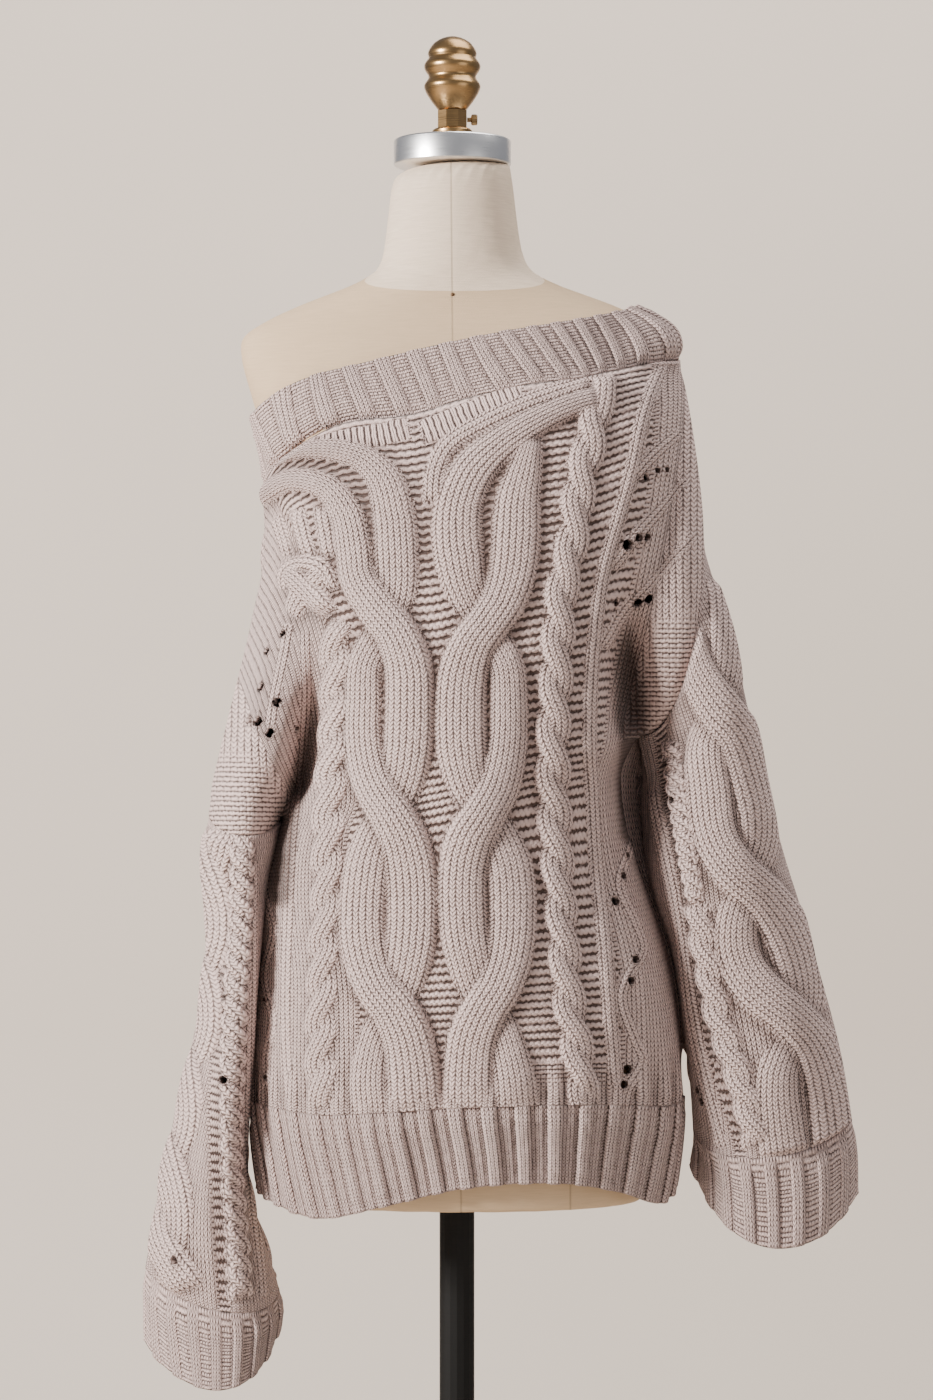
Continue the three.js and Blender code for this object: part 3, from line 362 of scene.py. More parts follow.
def form_reach(p):
    """How far out points lie in the form's section: 1 on its surface."""
    s = TORSO.at(np.clip(p[..., 2], FORM_FOOT, NECK_TOP))
    depth = np.where(p[..., 1] < 0, s["front"], s["back"])
    across = np.abs(p[..., 0] + s["lean"]) / s["half"]
    square = s["square"]
    return (across**square + (np.abs(p[..., 1]) / depth) ** square) ** (1 / square)


def clear_of_form(p):
    """Cloth that would lie in the form is moved out to rest on it."""
    p = p.copy()
    step = 0.5
    for _ in range(12):
        reach = form_reach(p)
        slope = np.zeros_like(p)
        for axis in range(3):
            ahead, behind = p.copy(), p.copy()
            ahead[..., axis] += step
            behind[..., axis] -= step
            slope[..., axis] = (form_reach(ahead) - form_reach(behind)) / (2 * step)
        size = np.linalg.norm(slope, axis=-1)
        distance = (reach - 1) / size
        near = (reach < 1.25) & (distance < REST)
        push = np.where(near, np.minimum(REST - distance, LONGEST_PUSH), 0)
        if push.max() <= 0:
            break
        p += slope / size[..., None] * push[..., None]
    return p


def fullness(level):
    """Where the back of the body and of the sleeves hangs fuller, beside the gaps under the arms."""
    return smoothstep(level, 0, 0.03) * (1 - smoothstep(level, 0.7, 1))


def fold_share(p):
    """How deep points of the front lie in the folds under the arms, 0 to 1."""
    deepest = np.zeros(p.shape[:-1])
    for fold in ARM_FOLDS:
        s = fold.at(np.clip(p[..., 2], fold.key[0], fold.key[-1]))
        share = np.clip(s["share"], 0, 1) * np.exp(-(((p[..., 0] - s["x"]) / s["width"]) ** 2))
        share = share * smoothstep(p[..., 2], fold.key[0] - 30, fold.key[0])
        deepest = np.maximum(deepest, share)
    return deepest


def fold_under_arms(p, rows):
    """Draws the front in beside the body, where it hangs in a deep fold under each arm."""
    p = p.copy()
    fade = 1 - smoothstep(rows / UNDERARM_ROW, 0.9, 1)
    share = fold_share(p) * fade
    p[..., 1] += (-8 - p[..., 1]) * np.where(p[..., 1] < -8, share, 0)
    return p


def distance_along(side, wale, length):
    """How far along a ring of the body a wale lies: even over the cables, the rest at the sides."""
    centre = GUTTER_SHARE[side] * length
    left = wale < CENTRE_WALE
    count = np.where(left, CENTRE_WALE, PANEL_WALES - CENTRE_WALE)
    out = np.abs(wale - CENTRE_WALE)
    room = np.where(left, centre, length - centre)
    pitch = room / count if side == "back" else np.where(left, LEFT_PITCH, RIGHT_PITCH)
    distance = pitch * out + (room - pitch * count) * (out / count) ** 3
    return np.where(left, centre - distance, centre + distance)


def body_grid(side, wales, levels):
    """Points of the body tube at wales by levels: 0 underarm, 1 hem rib's top, 2 hem."""
    found = np.empty((len(wales), len(levels), 3))
    share = np.linspace(0, 1, 241)
    for j, level in enumerate(levels):
        s = BODY.at(level)
        depth = -s["front"] if side == "front" else s["back"]
        handle = np.array([0, depth * HANDLE, 0])
        left = np.array([s["leftX"], SIDE_Y, s["leftZ"]])
        right = np.array([s["rightX"], SIDE_Y, s["rightZ"]])
        full = np.array([1.0, 0, 0]) * fullness(level) if side == "back" else 0
        left_handle = left + handle - full * BACK_FULLNESS["left"]
        right_handle = right + handle + full * BACK_FULLNESS["right"]
        line = bezier(left, left_handle, right_handle, right, share)
        lengths = np.concatenate([[0], np.cumsum(np.linalg.norm(np.diff(line, axis=0), axis=1))])
        target = distance_along(side, wales, lengths[-1])
        for axis in range(3):
            found[:, j, axis] = np.interp(target, lengths, line[:, axis])
        if side == "front":
            found[:, j, 2] -= smoothstep(level, 0.4, 2) * HEM_DROP.at(target / lengths[-1])["drop"]
    return clear_of_form(found)


def neck_line(side, wales):
    """The panel's top edge: the left shoulder, the neck and the right shoulder."""
    found = np.empty((len(wales), 3))
    for curve, chosen in (
        (LEFT_SHOULDER, wales <= BAND_LEFT_WALE),
        (RIGHT_SHOULDER, wales >= BAND_RIGHT_WALE),
        (NECK_LINE[side], (wales > BAND_LEFT_WALE) & (wales < BAND_RIGHT_WALE)),
    ):
        s = curve.at(wales[chosen])
        found[chosen] = points(s["x"], s["y"], s["z"])
    return found


def yoke_grid(side, wales, shares):
    """Points from the top edge (share 0) down to the underarm (share 1)."""
    s = YOKE[side].at(wales)
    top = neck_line(side, wales)[:, None]
    bottom = body_grid(side, wales, [0])
    out = points(s["outX"], s["outY"], s["outZ"])[:, None]
    up = points(s["upX"], s["upY"], s["upZ"])[:, None]
    t = np.broadcast_to(np.asarray(shares, dtype=float), (len(wales), len(shares)))
    return clear_of_form(bezier(top, top + out, bottom + up, bottom, t))


def panel_grid(side, wales, rows):
    """A panel from the neck and shoulder line (row 0) to the hem rib's top (row 1)."""
    rows = np.asarray(rows, dtype=float)
    upper = rows <= UNDERARM_ROW
    found = np.concatenate([
        yoke_grid(side, wales, rows[upper] / UNDERARM_ROW),
        body_grid(side, wales, (rows[~upper] - UNDERARM_ROW) / (1 - UNDERARM_ROW)),
    ], axis=1)
    return clear_of_form(fold_under_arms(found, rows)) if side == "front" else found


def sleeve_grid(which, side, turns, levels):
    """A half sleeve, or with levels above 1 a cuff: turn 0 is its outer line and 1 its inner line."""
    levels = np.asarray(levels, dtype=float)
    s = SLEEVES[which].at(levels)
    out = points(s["outX"], SIDE_Y, s["outZ"])
    inner = points(s["inX"], SIDE_Y, s["inZ"])
    if side == "front":
        handle = points(s["frontX"], -s["front"] * HANDLE, s["frontZ"])
        pinch = s["pinch"][:, None]
    else:
        handle = points(0, s["back"] * HANDLE, s["backZ"])
        pinch = np.zeros((len(levels), 1))
    across = inner - out
    t = np.broadcast_to(turns[:, None], (len(turns), len(levels)))
    inner_handle = inner + handle - across * pinch
    if side == "back":
        sign = -1 if which == "left" else 1
        inner_handle[..., 0] += sign * SLEEVE_HOLLOW[which] * fullness(levels)
    ring = bezier(out, out + handle + across * pinch, inner_handle, inner, t)
    if levels[0] < ARMHOLE_FADE:
        wale = 0.0 if which == "left" else float(PANEL_WALES)
        armhole = yoke_grid(side, np.array([wale]), turns)[0][:, None]
        fade = np.clip(1 - levels / ARMHOLE_FADE, 0, 1)[None, :, None]
        ring = ring + (armhole - ring[:, :1]) * fade
    return ring


def band_grid(turns, heights):
    """The neck band: turn 0 to 1 over the front from the left, 1 to 2 back again behind."""
    found = np.empty((len(turns), len(heights), 3))
    for side, chosen in (("front", turns <= 1), ("back", turns > 1)):
        share = turns[chosen] if side == "front" else 2 - turns[chosen]
        wale = BAND_LEFT_WALE + share * (BAND_RIGHT_WALE - BAND_LEFT_WALE)
        inside = np.clip(wale, BAND_LEFT_WALE + 1e-6, BAND_RIGHT_WALE - 1e-6)
        low = neck_line(side, inside)[:, None]
        s = BAND_TOP[side].at(wale)
        top = points(s["x"], s["y"], s["z"])[:, None]
        h = np.asarray(heights, dtype=float)[None, :, None]
        swell = points(s["swellX"], 0, s["swellZ"])[:, None] * (4 * h * (1 - h))
        found[chosen] = top * (1 - h) + low * h + swell
    body = clear_of_form(found[:, :-1])
    return np.concatenate([body, found[:, -1:]], axis=1)


# Smoothing and soft folds

def middles(a):
    """The inner rows of an array, each averaged with the two beside it."""
    return 0.25 * a[:-2] + 0.5 * a[1:-1] + 0.25 * a[2:]


def relax(grid, passes, ring=False):
    """Evens out a grid of points, with its edges kept."""
    for _ in range(passes):
        even = grid.copy()
        even[1:-1] = middles(grid)
        if ring:
            even[0] = even[-1] = 0.25 * grid[-2] + 0.5 * grid[0] + 0.25 * grid[1]
        across = even.copy()
        across[:, 1:-1] = middles(even.swapaxes(0, 1)).swapaxes(0, 1)
        across[:, 0], across[:, -1] = grid[:, 0], grid[:, -1]
        if not ring:
            across[0], across[-1] = grid[0], grid[-1]
        grid = across
    return grid


def soften(field, ring, passes=1):
    """Evens out a field of heights."""
    for _ in range(passes):
        even = field.copy()
        even[1:-1] = middles(field)
        field = even.copy()
        field[:, 1:-1] = middles(even.T).T
        if ring:
            field[0] = field[-1] = 0.5 * (field[0] + field[-1])
    return field


def soft_folds(p):
    """A slow in and out of the cloth, the same on both sides of a seam."""
    x, y, z = p[..., 0], p[..., 1], p[..., 2]
    low = smoothstep(z, 1240, 1000)
    return low * (
        1.2 * np.sin(0.045 * x + 0.012 * z + 0.03 * y) + 0.9 * np.sin(0.083 * x - 0.021 * z + 1.3)
        + 0.7 * np.sin(0.031 * z + 0.05 * y)
    )


def grid_normals(grid, flip, ring):
    wide = np.concatenate([grid[-2:-1], grid, grid[1:2]])
    du = np.gradient(wide, axis=0)[1:-1] if ring else np.gradient(grid, axis=0)
    dv = np.gradient(grid, axis=1)
    n = np.cross(dv, du) * (-1 if flip else 1)
    return n / np.maximum(np.linalg.norm(n, axis=-1, keepdims=True), 1e-9)


# The chart: strands drawn as lines over a piece

def along_line(columns, rows, step):
    """Samples a line of rows (x, y and more) each step: distances, columns, points and directions."""
    data = np.array(rows, dtype=float)
    steps = np.linalg.norm(np.diff(data[:, :2], axis=0), axis=1)
    key = np.concatenate([[0], np.cumsum(steps)])
    s = np.arange(0, key[-1], step)
    found = Curve("s " + columns, np.column_stack([key, data])).at(s)
    line = np.column_stack([found["x"], found["y"]])
    tangent = np.gradient(line, axis=0)
    return s, found, line, tangent / np.linalg.norm(tangent, axis=1, keepdims=True)


class Strand:
    """One strand of a cable: a line over the chart, its half width, and if it lies over (1) or under (-1).

    rise is its height in mm, wales how many it has across, and lift how far it goes over or under."""

    def __init__(self, line, rise, wales, lift=4.5, upright=False):
        self.s, found, self.line, self.tangent = along_line("x y over half", line, STRAND_STEP)
        self.over = found["over"]
        self.half = found["half"]
        self.rise = rise
        self.wales = wales
        self.lift = lift
        self.upright = upright
        self.fade = END_FADE

    def lay(self, x, y):
        """At chart points: height, offset across in half widths, and distance along."""
        height = np.full(x.shape, NOWHERE)
        across = np.zeros(x.shape)
        along = np.zeros(x.shape)
        reach = self.half.max() * 1.6
        low, high = self.line.min(axis=0) - reach, self.line.max(axis=0) + reach
        near = (x > low[0]) & (x < high[0]) & (y > low[1]) & (y < high[1])
        where = np.nonzero(near.ravel())[0]
        if not len(where):
            return height, across, along
        spot = np.column_stack([x.ravel()[where], y.ravel()[where]])
        best = np.empty(len(spot), dtype=int)
        for first in range(0, len(spot), LAID_AT_ONCE):
            part = slice(first, first + LAID_AT_ONCE)
            gap = ((spot[part, None] - self.line[None]) ** 2).sum(axis=2)
            best[part] = gap.argmin(axis=1)
        away = spot - self.line[best]
        tangent = self.tangent[best]
        run = (away * tangent).sum(axis=1)
        s = self.s[best] + run
        half = np.interp(s, self.s, self.half)
        off = (tangent[:, 0] * away[:, 1] - tangent[:, 1] * away[:, 0]) / half
        over = np.interp(s, self.s, self.over)
        ends = smoothstep(s, -4, 8) * smoothstep(self.s[-1] - s, -4, self.fade)
        dome = np.sqrt(np.clip(1 - np.abs(off) ** DOME_POWER, 0, 1))
        rise = self.rise * dome * ends + over * self.lift
        inside = (np.abs(off) < STRAND_EDGE) & (ends > 0.02)
        rise = np.where(inside, rise - EDGE_DROP * np.clip(np.abs(off) - 1, 0, 1), NOWHERE)
        height.ravel()[where] = rise
        across.ravel()[where] = off
        along.ravel()[where] = s
        return height, across, along


def plain_strand(line, half, rise, wales, upright=False):
    """A strand of one width that lies flat all along."""
    return Strand([(x, y, 0, half) for x, y in line], rise, wales, upright=upright)


def bars(line, half, rise):
    """A row of short upright stitches along a line."""
    return plain_strand(line, half, rise, 0, upright=True)


def twist(centre, amplitude, pitch, hand, half, rise, wales, lift=2.5, start=0.0):
    """The two strands of a rope along a centre line."""
    s, _, line, tangent = along_line("x y", centre, TWIST_STEP)
    across = np.column_stack([-tangent[:, 1], tangent[:, 0]])
    strands = []
    for turn in (0.0, math.pi):
        angle = math.pi * s / pitch + turn + start
        place = line + across * (amplitude * np.cos(angle))[:, None]
        over = hand * np.sin(angle)
        strands.append(Strand(np.column_stack([place, over, np.full(len(s), half)]), rise, wales, lift))
    return strands


FRONT_STRANDS = [
    Strand([
        (248, 512, 0, 9), (268, 492, 0, 10), (295, 480, 0.1, 11), (328, 488, 0.2, 13), (347, 514, 0, 16),
        (354, 546, 0, 18), (359, 578, 0.2, 18), (377, 606, 0.8, 19), (399, 636, 0.9, 20),
        (409, 668, 0.3, 23), (410, 705, 0, 24), (408, 750, 0, 24), (400, 788, -0.5, 22),
        (387, 812, -1, 20), (374, 838, -0.5, 21), (366, 870, 0, 23), (363, 925, 0, 23),
        (368, 960, 0.1, 22), (380, 988, 0.8, 21), (396, 1010, 1, 22), (408, 1038, 0.6, 24),
        (413, 1072, 0, 26), (415, 1104, 0, 27), (417, 1122, 0, 27),
    ], 7.5, 7.4),
    Strand([
        (258, 468, 0, 9), (275, 457, 0, 9), (300, 450, 0, 9), (334, 450, 0, 11), (364, 459, 0, 14),
        (385, 481, 0, 18), (394, 515, 0, 21), (397, 555, 0, 22), (397, 588, -0.4, 21),
        (390, 615, -1, 20), (376, 640, -0.8, 18), (366, 664, 0, 17), (364, 700, 0, 18), (363, 735, 0, 19),
        (368, 768, 0.3, 20), (379, 793, 0.9, 20), (393, 816, 1, 21), (405, 842, 0.6, 23),
        (411, 874, 0, 25), (412, 925, 0, 25), (408, 960, 0, 24), (400, 990, -0.7, 21),
        (388, 1012, -1, 19), (374, 1040, -0.6, 17), (369, 1072, 0, 18), (369, 1104, 0, 19),
        (369, 1122, 0, 19),
    ], 7.5, 7.4),
    Strand([
        (598, 398, 0, 11), (565, 408, 0, 13), (532, 424, 0, 15), (500, 445, 0, 18), (474, 470, 0, 22),
        (460, 500, 0, 24), (457, 530, 0, 25), (460, 560, 0, 25), (466, 588, -0.4, 22),
        (477, 612, -1, 20), (492, 637, -0.8, 18), (506, 664, 0, 17), (509, 700, 0, 18),
        (508, 745, 0, 19), (500, 783, 0.4, 20), (485, 812, 1, 20), (470, 840, 0.6, 23),
        (463, 872, 0, 24), (464, 925, 0, 24), (469, 955, 0, 23), (478, 988, -0.7, 21),
        (492, 1010, -1, 19), (505, 1038, -0.6, 18), (513, 1072, 0, 20), (517, 1104, 0, 21),
        (520, 1122, 0, 21),
    ], 7.5, 7.4),
    Strand([
        (532, 440, 0, 10), (525, 468, 0, 17), (518, 500, 0, 22), (516, 535, 0, 24), (512, 572, 0.1, 23),
        (503, 600, 0.6, 21), (489, 622, 1, 20), (473, 645, 0.8, 21), (464, 672, 0.2, 24),
        (461, 705, 0, 25), (462, 750, 0, 25), (469, 785, -0.5, 22), (484, 812, -1, 20),
        (500, 838, -0.5, 21), (510, 870, 0, 23), (512, 925, 0, 23), (508, 958, 0.1, 22),
        (498, 986, 0.8, 21), (484, 1010, 1, 21), (473, 1038, 0.6, 23), (469, 1072, 0, 24),
        (469, 1104, 0, 25), (470, 1122, 0, 25),
    ], 7.5, 7.4),
    plain_strand([(433, 500), (436, 470), (450, 444), (486, 422), (530, 402), (588, 382)], 10, 4.5, 3.4),
    bars([(322, 447), (352, 439), (384, 434), (408, 428)], 11, 2.4),
    bars([(424, 432), (450, 422), (484, 408), (524, 393)], 12, 2.4),
    *twist([
        (607, 380), (596, 408), (589, 446), (581, 474), (576, 516), (568, 560), (561, 595), (558, 635),
        (555, 680), (552, 740), (553, 800), (560, 900), (569, 1000), (579, 1060), (586, 1120),
    ], 6.5, 46, 1, 10.5, 5.5, 3.6, start=1.0),
    *twist([
        (336, 624), (336, 650), (336, 700), (333, 760), (328, 830), (327, 900), (324, 1000), (322, 1060),
        (325, 1120),
    ], 6.5, 41, -1, 10, 5, 4, start=0.5),
    Strand([(288, 572, 0.4, 8), (302, 582, 1, 12), (318, 598, 1, 12), (330, 612, 0.4, 8)], 6.5, 5, 3),
    Strand([(328, 568, 0, 8), (316, 580, 0.2, 12), (300, 602, 0.2, 12), (292, 616, 0, 8)], 6.5, 5, 3),
    Strand([(284, 590, 0, 6), (290, 570, 0.5, 8), (308, 562, 0.6, 8), (326, 570, 0.5, 8), (334, 590, 0, 6)],
           5, 3, 3),
    plain_strand([(322, 508), (326, 530), (330, 556)], 9, 3, 3),
    plain_strand([(298, 512), (304, 536), (310, 558)], 8, 3, 3),
    plain_strand([(276, 516), (284, 540), (290, 562)], 7, 2.5, 3),
    plain_strand([(290, 620), (284, 650), (276, 690), (270, 730)], 7, 2.5, 3),
    plain_strand([
        (668, 352), (645, 410), (632, 470), (618, 520), (604, 570), (596, 620), (588, 700), (588, 760),
        (594, 840), (602, 920), (608, 1000), (616, 1080), (618, 1120),
    ], 7, 3, 3),
    plain_strand([(604, 646), (624, 612), (650, 584), (676, 556), (694, 534)], 7, 2.5, 3),
    plain_strand([(614, 566), (636, 536), (662, 506), (688, 478)], 7, 2.5, 3),
    plain_strand([(634, 476), (656, 452), (682, 430)], 7, 2.5, 3),
    plain_strand([
        (642, 820), (628, 850), (618, 885), (634, 925), (642, 950), (626, 975), (620, 1000), (634, 1040),
        (642, 1060), (628, 1090), (625, 1118),
    ], 7, 2.5, 3),
    plain_strand([
        (305, 630), (306, 700), (300, 780), (293, 860), (289, 950), (288, 1040), (291, 1120),
    ], 7, 2.5, 3),
    plain_strand([
        (276, 850), (268, 890), (276, 930), (267, 975), (275, 1020), (268, 1060), (274, 1110),
    ], 6, 2.2, 3),
]
for strand in FRONT_STRANDS:
    if strand.line[-1][1] > HEM_SEEN:
        strand.fade = HEM_FADE
FRONT_EYELETS = [
    (625, 545, 5), (637, 537, 4), (646, 535, 4), (638, 603, 4.5), (648, 597, 4), (618, 601, 4),
    (645, 475, 3.5), (654, 470, 3.5), (664, 467, 3.5), (612, 901, 4.5), (619, 877, 4), (625, 856, 4),
    (627, 980, 4), (631, 958, 4), (628, 1070, 4.5), (623, 1084, 4), (261, 688, 4), (278, 702, 4),
    (260, 722, 4.5), (270, 733, 4), (251, 721, 3.5), (297, 728, 4), (267, 652, 3.5), (284, 634, 3.5),
    (263, 536, 3), (288, 516, 3), (270, 880, 3.5), (267, 1000, 3.5), (268, 1076, 3.5),
]
BACK_EYELETS = [
    (BACK_MIDDLE + side * (205 + k * 11), y + k * 13, 4)
    for side in (-1, 1) for y in (180, 320, 480, 600) for k in range(3)
]
# The ladders of the sleeves: (down, across) on the chart.
SLEEVE_LADDERS = {
    "left": ((830, 228), (930, 224), (1050, 216), (1110, 214), (1180, 217), (1300, 225)),
    "right": ((740, 660), (822, 670), (905, 682), (984, 696), (1060, 712), (1145, 740)),
}
RIGHT_SLEEVE_STRANDS = [
    Strand([
        (678, 590, 0, 14), (686, 636, 0.1, 16), (698, 672, 0.5, 18), (716, 704, 1, 20), (738, 738, 0.6, 22),
        (752, 778, 0, 24), (760, 815, 0, 24), (760, 848, -0.5, 22), (746, 885, -1, 20),
        (736, 922, 0, 22), (738, 955, 0, 23), (754, 985, 0.8, 22), (786, 1015, 1, 21),
        (814, 1045, 0.6, 24), (830, 1085, 0, 27), (836, 1130, 0, 28), (842, 1180, 0, 28),
    ], 6, 8.4, 3.5),
    Strand([
        (724, 580, 0, 20), (728, 636, -0.1, 20), (728, 675, -0.6, 20), (716, 712, -1, 18), (706, 745, 0, 19),
        (708, 790, 0, 22), (714, 835, 0.2, 22), (732, 868, 0.9, 21), (764, 900, 1, 21),
        (788, 935, 0.4, 24), (802, 975, 0, 26), (804, 1005, -0.6, 24), (788, 1042, -1, 20),
        (776, 1075, 0, 21), (779, 1125, 0, 24), (788, 1180, 0, 26),
    ], 6, 8.4, 3.5),
    *twist([(672, 742), (678, 785), (683, 822), (689, 864), (697, 905)], 5, 15, 1, 6.5, 5, 2),
    *twist([
        (697, 905), (704, 947), (712, 984), (720, 1021), (733, 1059), (745, 1096), (758, 1145),
    ], 6, 35, 1, 9.5, 5.5, 3.4),
    plain_strand([
        (652, 790), (664, 850), (676, 920), (688, 1000), (704, 1080), (722, 1150),
    ], 7, 2.5, 3),
]
RIGHT_SLEEVE_EYELETS = [(665, 752, 4.5), (671, 764, 3.5), (698, 1092, 3.5), (703, 1102, 3.5), (676, 800, 3)]
LEFT_SLEEVE_STRANDS = [
    *twist([
        (243, 830), (242, 880), (240, 930), (236, 990), (233, 1050), (231, 1110), (233, 1170),
        (237, 1230), (240, 1300),
    ], 5, 21, 1, 7.5, 5, 2.4),
    *twist([
        (210, 830), (206, 900), (198, 960), (190, 1030), (176, 1100), (168, 1170), (168, 1230), (180, 1290),
    ], 11, 96, 1, 17, 6, 7),
    plain_strand([
        (252, 860), (250, 950), (248, 1050), (250, 1150), (258, 1230), (262, 1300),
    ], 6, 2.5, 3),
]
LEFT_SLEEVE_EYELETS = [(184, 1260, 4), (228, 1000, 3.5), (224, 1080, 3.5)]
SLEEVE_COLUMNS = 96
# Each sleeve's rows, the flat width and length of a half in metres, and what its front shows.
SLEEVE_CUTS = {
    "left": (200, 0.19, 0.43, LEFT_SLEEVE_STRANDS, LEFT_SLEEVE_EYELETS),
    "right": (230, 0.21, 0.50, RIGHT_SLEEVE_STRANDS, RIGHT_SLEEVE_EYELETS),
}


def chart_seen_from_front(p):
    """The chart of a piece that the front view shows: across and down as seen from three metres away."""
    scale = CHART_SCALE * (1 + p[..., 1] / EYE_DISTANCE)
    return (p[..., 0] - EYE_X) / scale + CHART_CENTRE[0], (EYE_Z - p[..., 2]) / scale + CHART_CENTRE[1]


def level_chart(across, down):
    """The chart of a piece that the front view doesn't show: a plain rectangle."""
    chart = np.meshgrid(across, down, indexing="ij")
    return lambda grid: chart


def upright_line(x, height):
    return [(x, y) for y in np.arange(-20, height + 60, 40)]


def back_strands():
    """Two wide cables, two ropes and narrow ribs on the back's chart."""
    strands = []
    for side in (-1, 1):
        cable, rope, rib = (upright_line(BACK_MIDDLE + side * x, BACK_HEIGHT) for x in (54, 132, 168))
        strands += twist(cable, 24, 196, side, 24, 7.5, 8, lift=4.5)
        strands += twist(rope, 8, 48, -side, 11, 5, 5)
        strands.append(plain_strand(rib, 7, 2.5, 3))
    return strands


def sleeve_back_strands(height):
    cable, rope = upright_line(110, height), upright_line(215, height)
    return twist(cable, 22, 160, 1, 23, 7, 8, lift=4.5) + twist(rope, 7, 44, -1, 10, 5, 4)


# Meshes

def wall_mesh(name, grid, normals, rise, loops, keep, ring, flip, marks):
    """A wall with fine outer faces, an inside of half as many, and a rim at each edge and hole.

    loops(i, j) gives the stitch chart of the outer faces' corners, and marks are named vertex values."""
    nu, nv = grid.shape[:2]
    count = nu - 1 if ring else nu
    outer_points = grid + normals * rise[..., None]
    inner_points = grid - normals * CLOTH_THICKNESS
    base = (np.arange(nu) % count)[:, None] * nv + np.arange(nv)[None, :]
    fine = np.repeat(np.repeat(keep, 2, axis=0), 2, axis=1)
    ci, cj = np.nonzero(fine)
    corner_i = np.stack([ci, ci, ci + 1, ci + 1], axis=1)
    corner_j = np.stack([cj, cj + 1, cj + 1, cj], axis=1)
    if flip:
        corner_i, corner_j = corner_i[:, ::-1], corner_j[:, ::-1]
    faces = [list(f) for f in base[corner_i, corner_j]]
    chart = loops(ci, cj, corner_i, corner_j).reshape(-1, 2)
    offset = count * nv
    inner_index = {}
    inner_at = []

    def inner(i, j):
        i %= count
        if (i, j) not in inner_index:
            inner_index[(i, j)] = offset + len(inner_at)
            inner_at.append((i, j))
        return inner_index[(i, j)]

    cells_i, cells_j = keep.shape

    def kept(a, b):
        if ring:
            a %= cells_i
        return 0 <= a < cells_i and 0 <= b < cells_j and keep[a, b]

    plain = []

    def add(corners):
        plain.append(corners[::-1] if flip else corners)

    for a, b in zip(*np.nonzero(keep)):
        a, b = int(a), int(b)
        i, j = 2 * a, 2 * b
        sides = (
            ((i, j), (i + 1, j), (i + 2, j), kept(a, b - 1)),
            ((i + 2, j), (i + 2, j + 1), (i + 2, j + 2), kept(a + 1, b)),
            ((i + 2, j + 2), (i + 1, j + 2), (i, j + 2), kept(a, b + 1)),
            ((i, j + 2), (i, j + 1), (i, j), kept(a - 1, b)),
        )
        polygon = []
        for start, middle, end, next_kept in sides:
            polygon.append(inner(*start))
            if next_kept:
                continue
            polygon.append(inner(*middle))
            for p, q in ((start, middle), (middle, end)):
                add([base[p], base[q], inner(*q), inner(*p)])
        add(polygon)
    spots = np.array(inner_at)
    vertices = np.concatenate([outer_points[:count].reshape(-1, 3), inner_points[spots[:, 0], spots[:, 1]]])
    mesh = bpy.data.meshes.new(name)
    mesh.from_pydata((vertices * MM).tolist(), [], faces + plain)
    layer = mesh.uv_layers.new(name="stitches")
    outer_spots = np.stack(np.meshgrid(np.arange(count), np.arange(nv), indexing="ij"), -1).reshape(-1, 2)
    plain_chart = np.concatenate([outer_spots, spots])[np.concatenate(plain).astype(int)] * 0.5
    layer.data.foreach_set("uv", np.concatenate([chart, plain_chart]).ravel())
    for mark, field in marks.items():
        attribute = mesh.attributes.new(mark, "FLOAT", "POINT")
        own = field[:count].reshape(-1)
        under = field[spots[:, 0], spots[:, 1]]
        attribute.data.foreach_set("value", np.concatenate([own, under]).astype(np.float32))
    mesh.polygons.foreach_set("use_smooth", np.ones(len(mesh.polygons), dtype=bool))
    mesh.validate()
    mesh.update()
    piece = bpy.data.objects.new(name, mesh)
    bpy.context.scene.collection.objects.link(piece)
    return piece


def punch(grid, chart_x, chart_y, eyelets, keep, trim=0.86):
    """Takes the cells at each eyelet out of keep, and draws the grid round to the eyelet's edge."""
    count_i, count_j = keep.shape
    centre_x, centre_y, centre = (a[1::2, 1::2][:count_i, :count_j] for a in (chart_x, chart_y, grid))
    holes = np.zeros(grid.shape[:2])
    for x, y, radius in eyelets:
        gap = (centre_x - x) ** 2 + (centre_y - y) ** 2
        gap[~keep] = 1e9
        a, b = np.unravel_index(gap.argmin(), gap.shape)
        if gap[a, b] > EYELET_MISS**2 or not (1 < a < count_i - 2 and 1 < b < count_j - 2):
            continue
        middle = centre[a, b]
        near = np.linalg.norm(centre - middle, axis=-1) < max(radius * trim, 0.1)
        near[a, b] = True
        near &= keep
        keep[near] = False
        fine = np.repeat(np.repeat(near, 2, axis=0), 2, axis=1)
        inside = np.zeros(grid.shape[:2], dtype=int)
        for di, dj in ((0, 0), (1, 0), (0, 1), (1, 1)):
            inside[di:di + fine.shape[0], dj:dj + fine.shape[1]] += fine
        edge = (inside > 0) & (inside < 4)
        away = grid[edge] - middle
        size = np.linalg.norm(away, axis=-1, keepdims=True)
        grid[edge] = middle + away / size * radius
        distance = np.linalg.norm(grid - middle, axis=-1)
        rim = np.exp(-(((distance - radius) / EYELET_RIM) ** 2))
        holes = np.maximum(holes, rim * (distance > radius * 0.6))
    return holes


def ends_fade(count, width):
    """1 along the middle of a row of points, and 0 at its two ends."""
    place = np.arange(count)
    return smoothstep(place, 0, width) * smoothstep(count - 1 - place, 0, width)


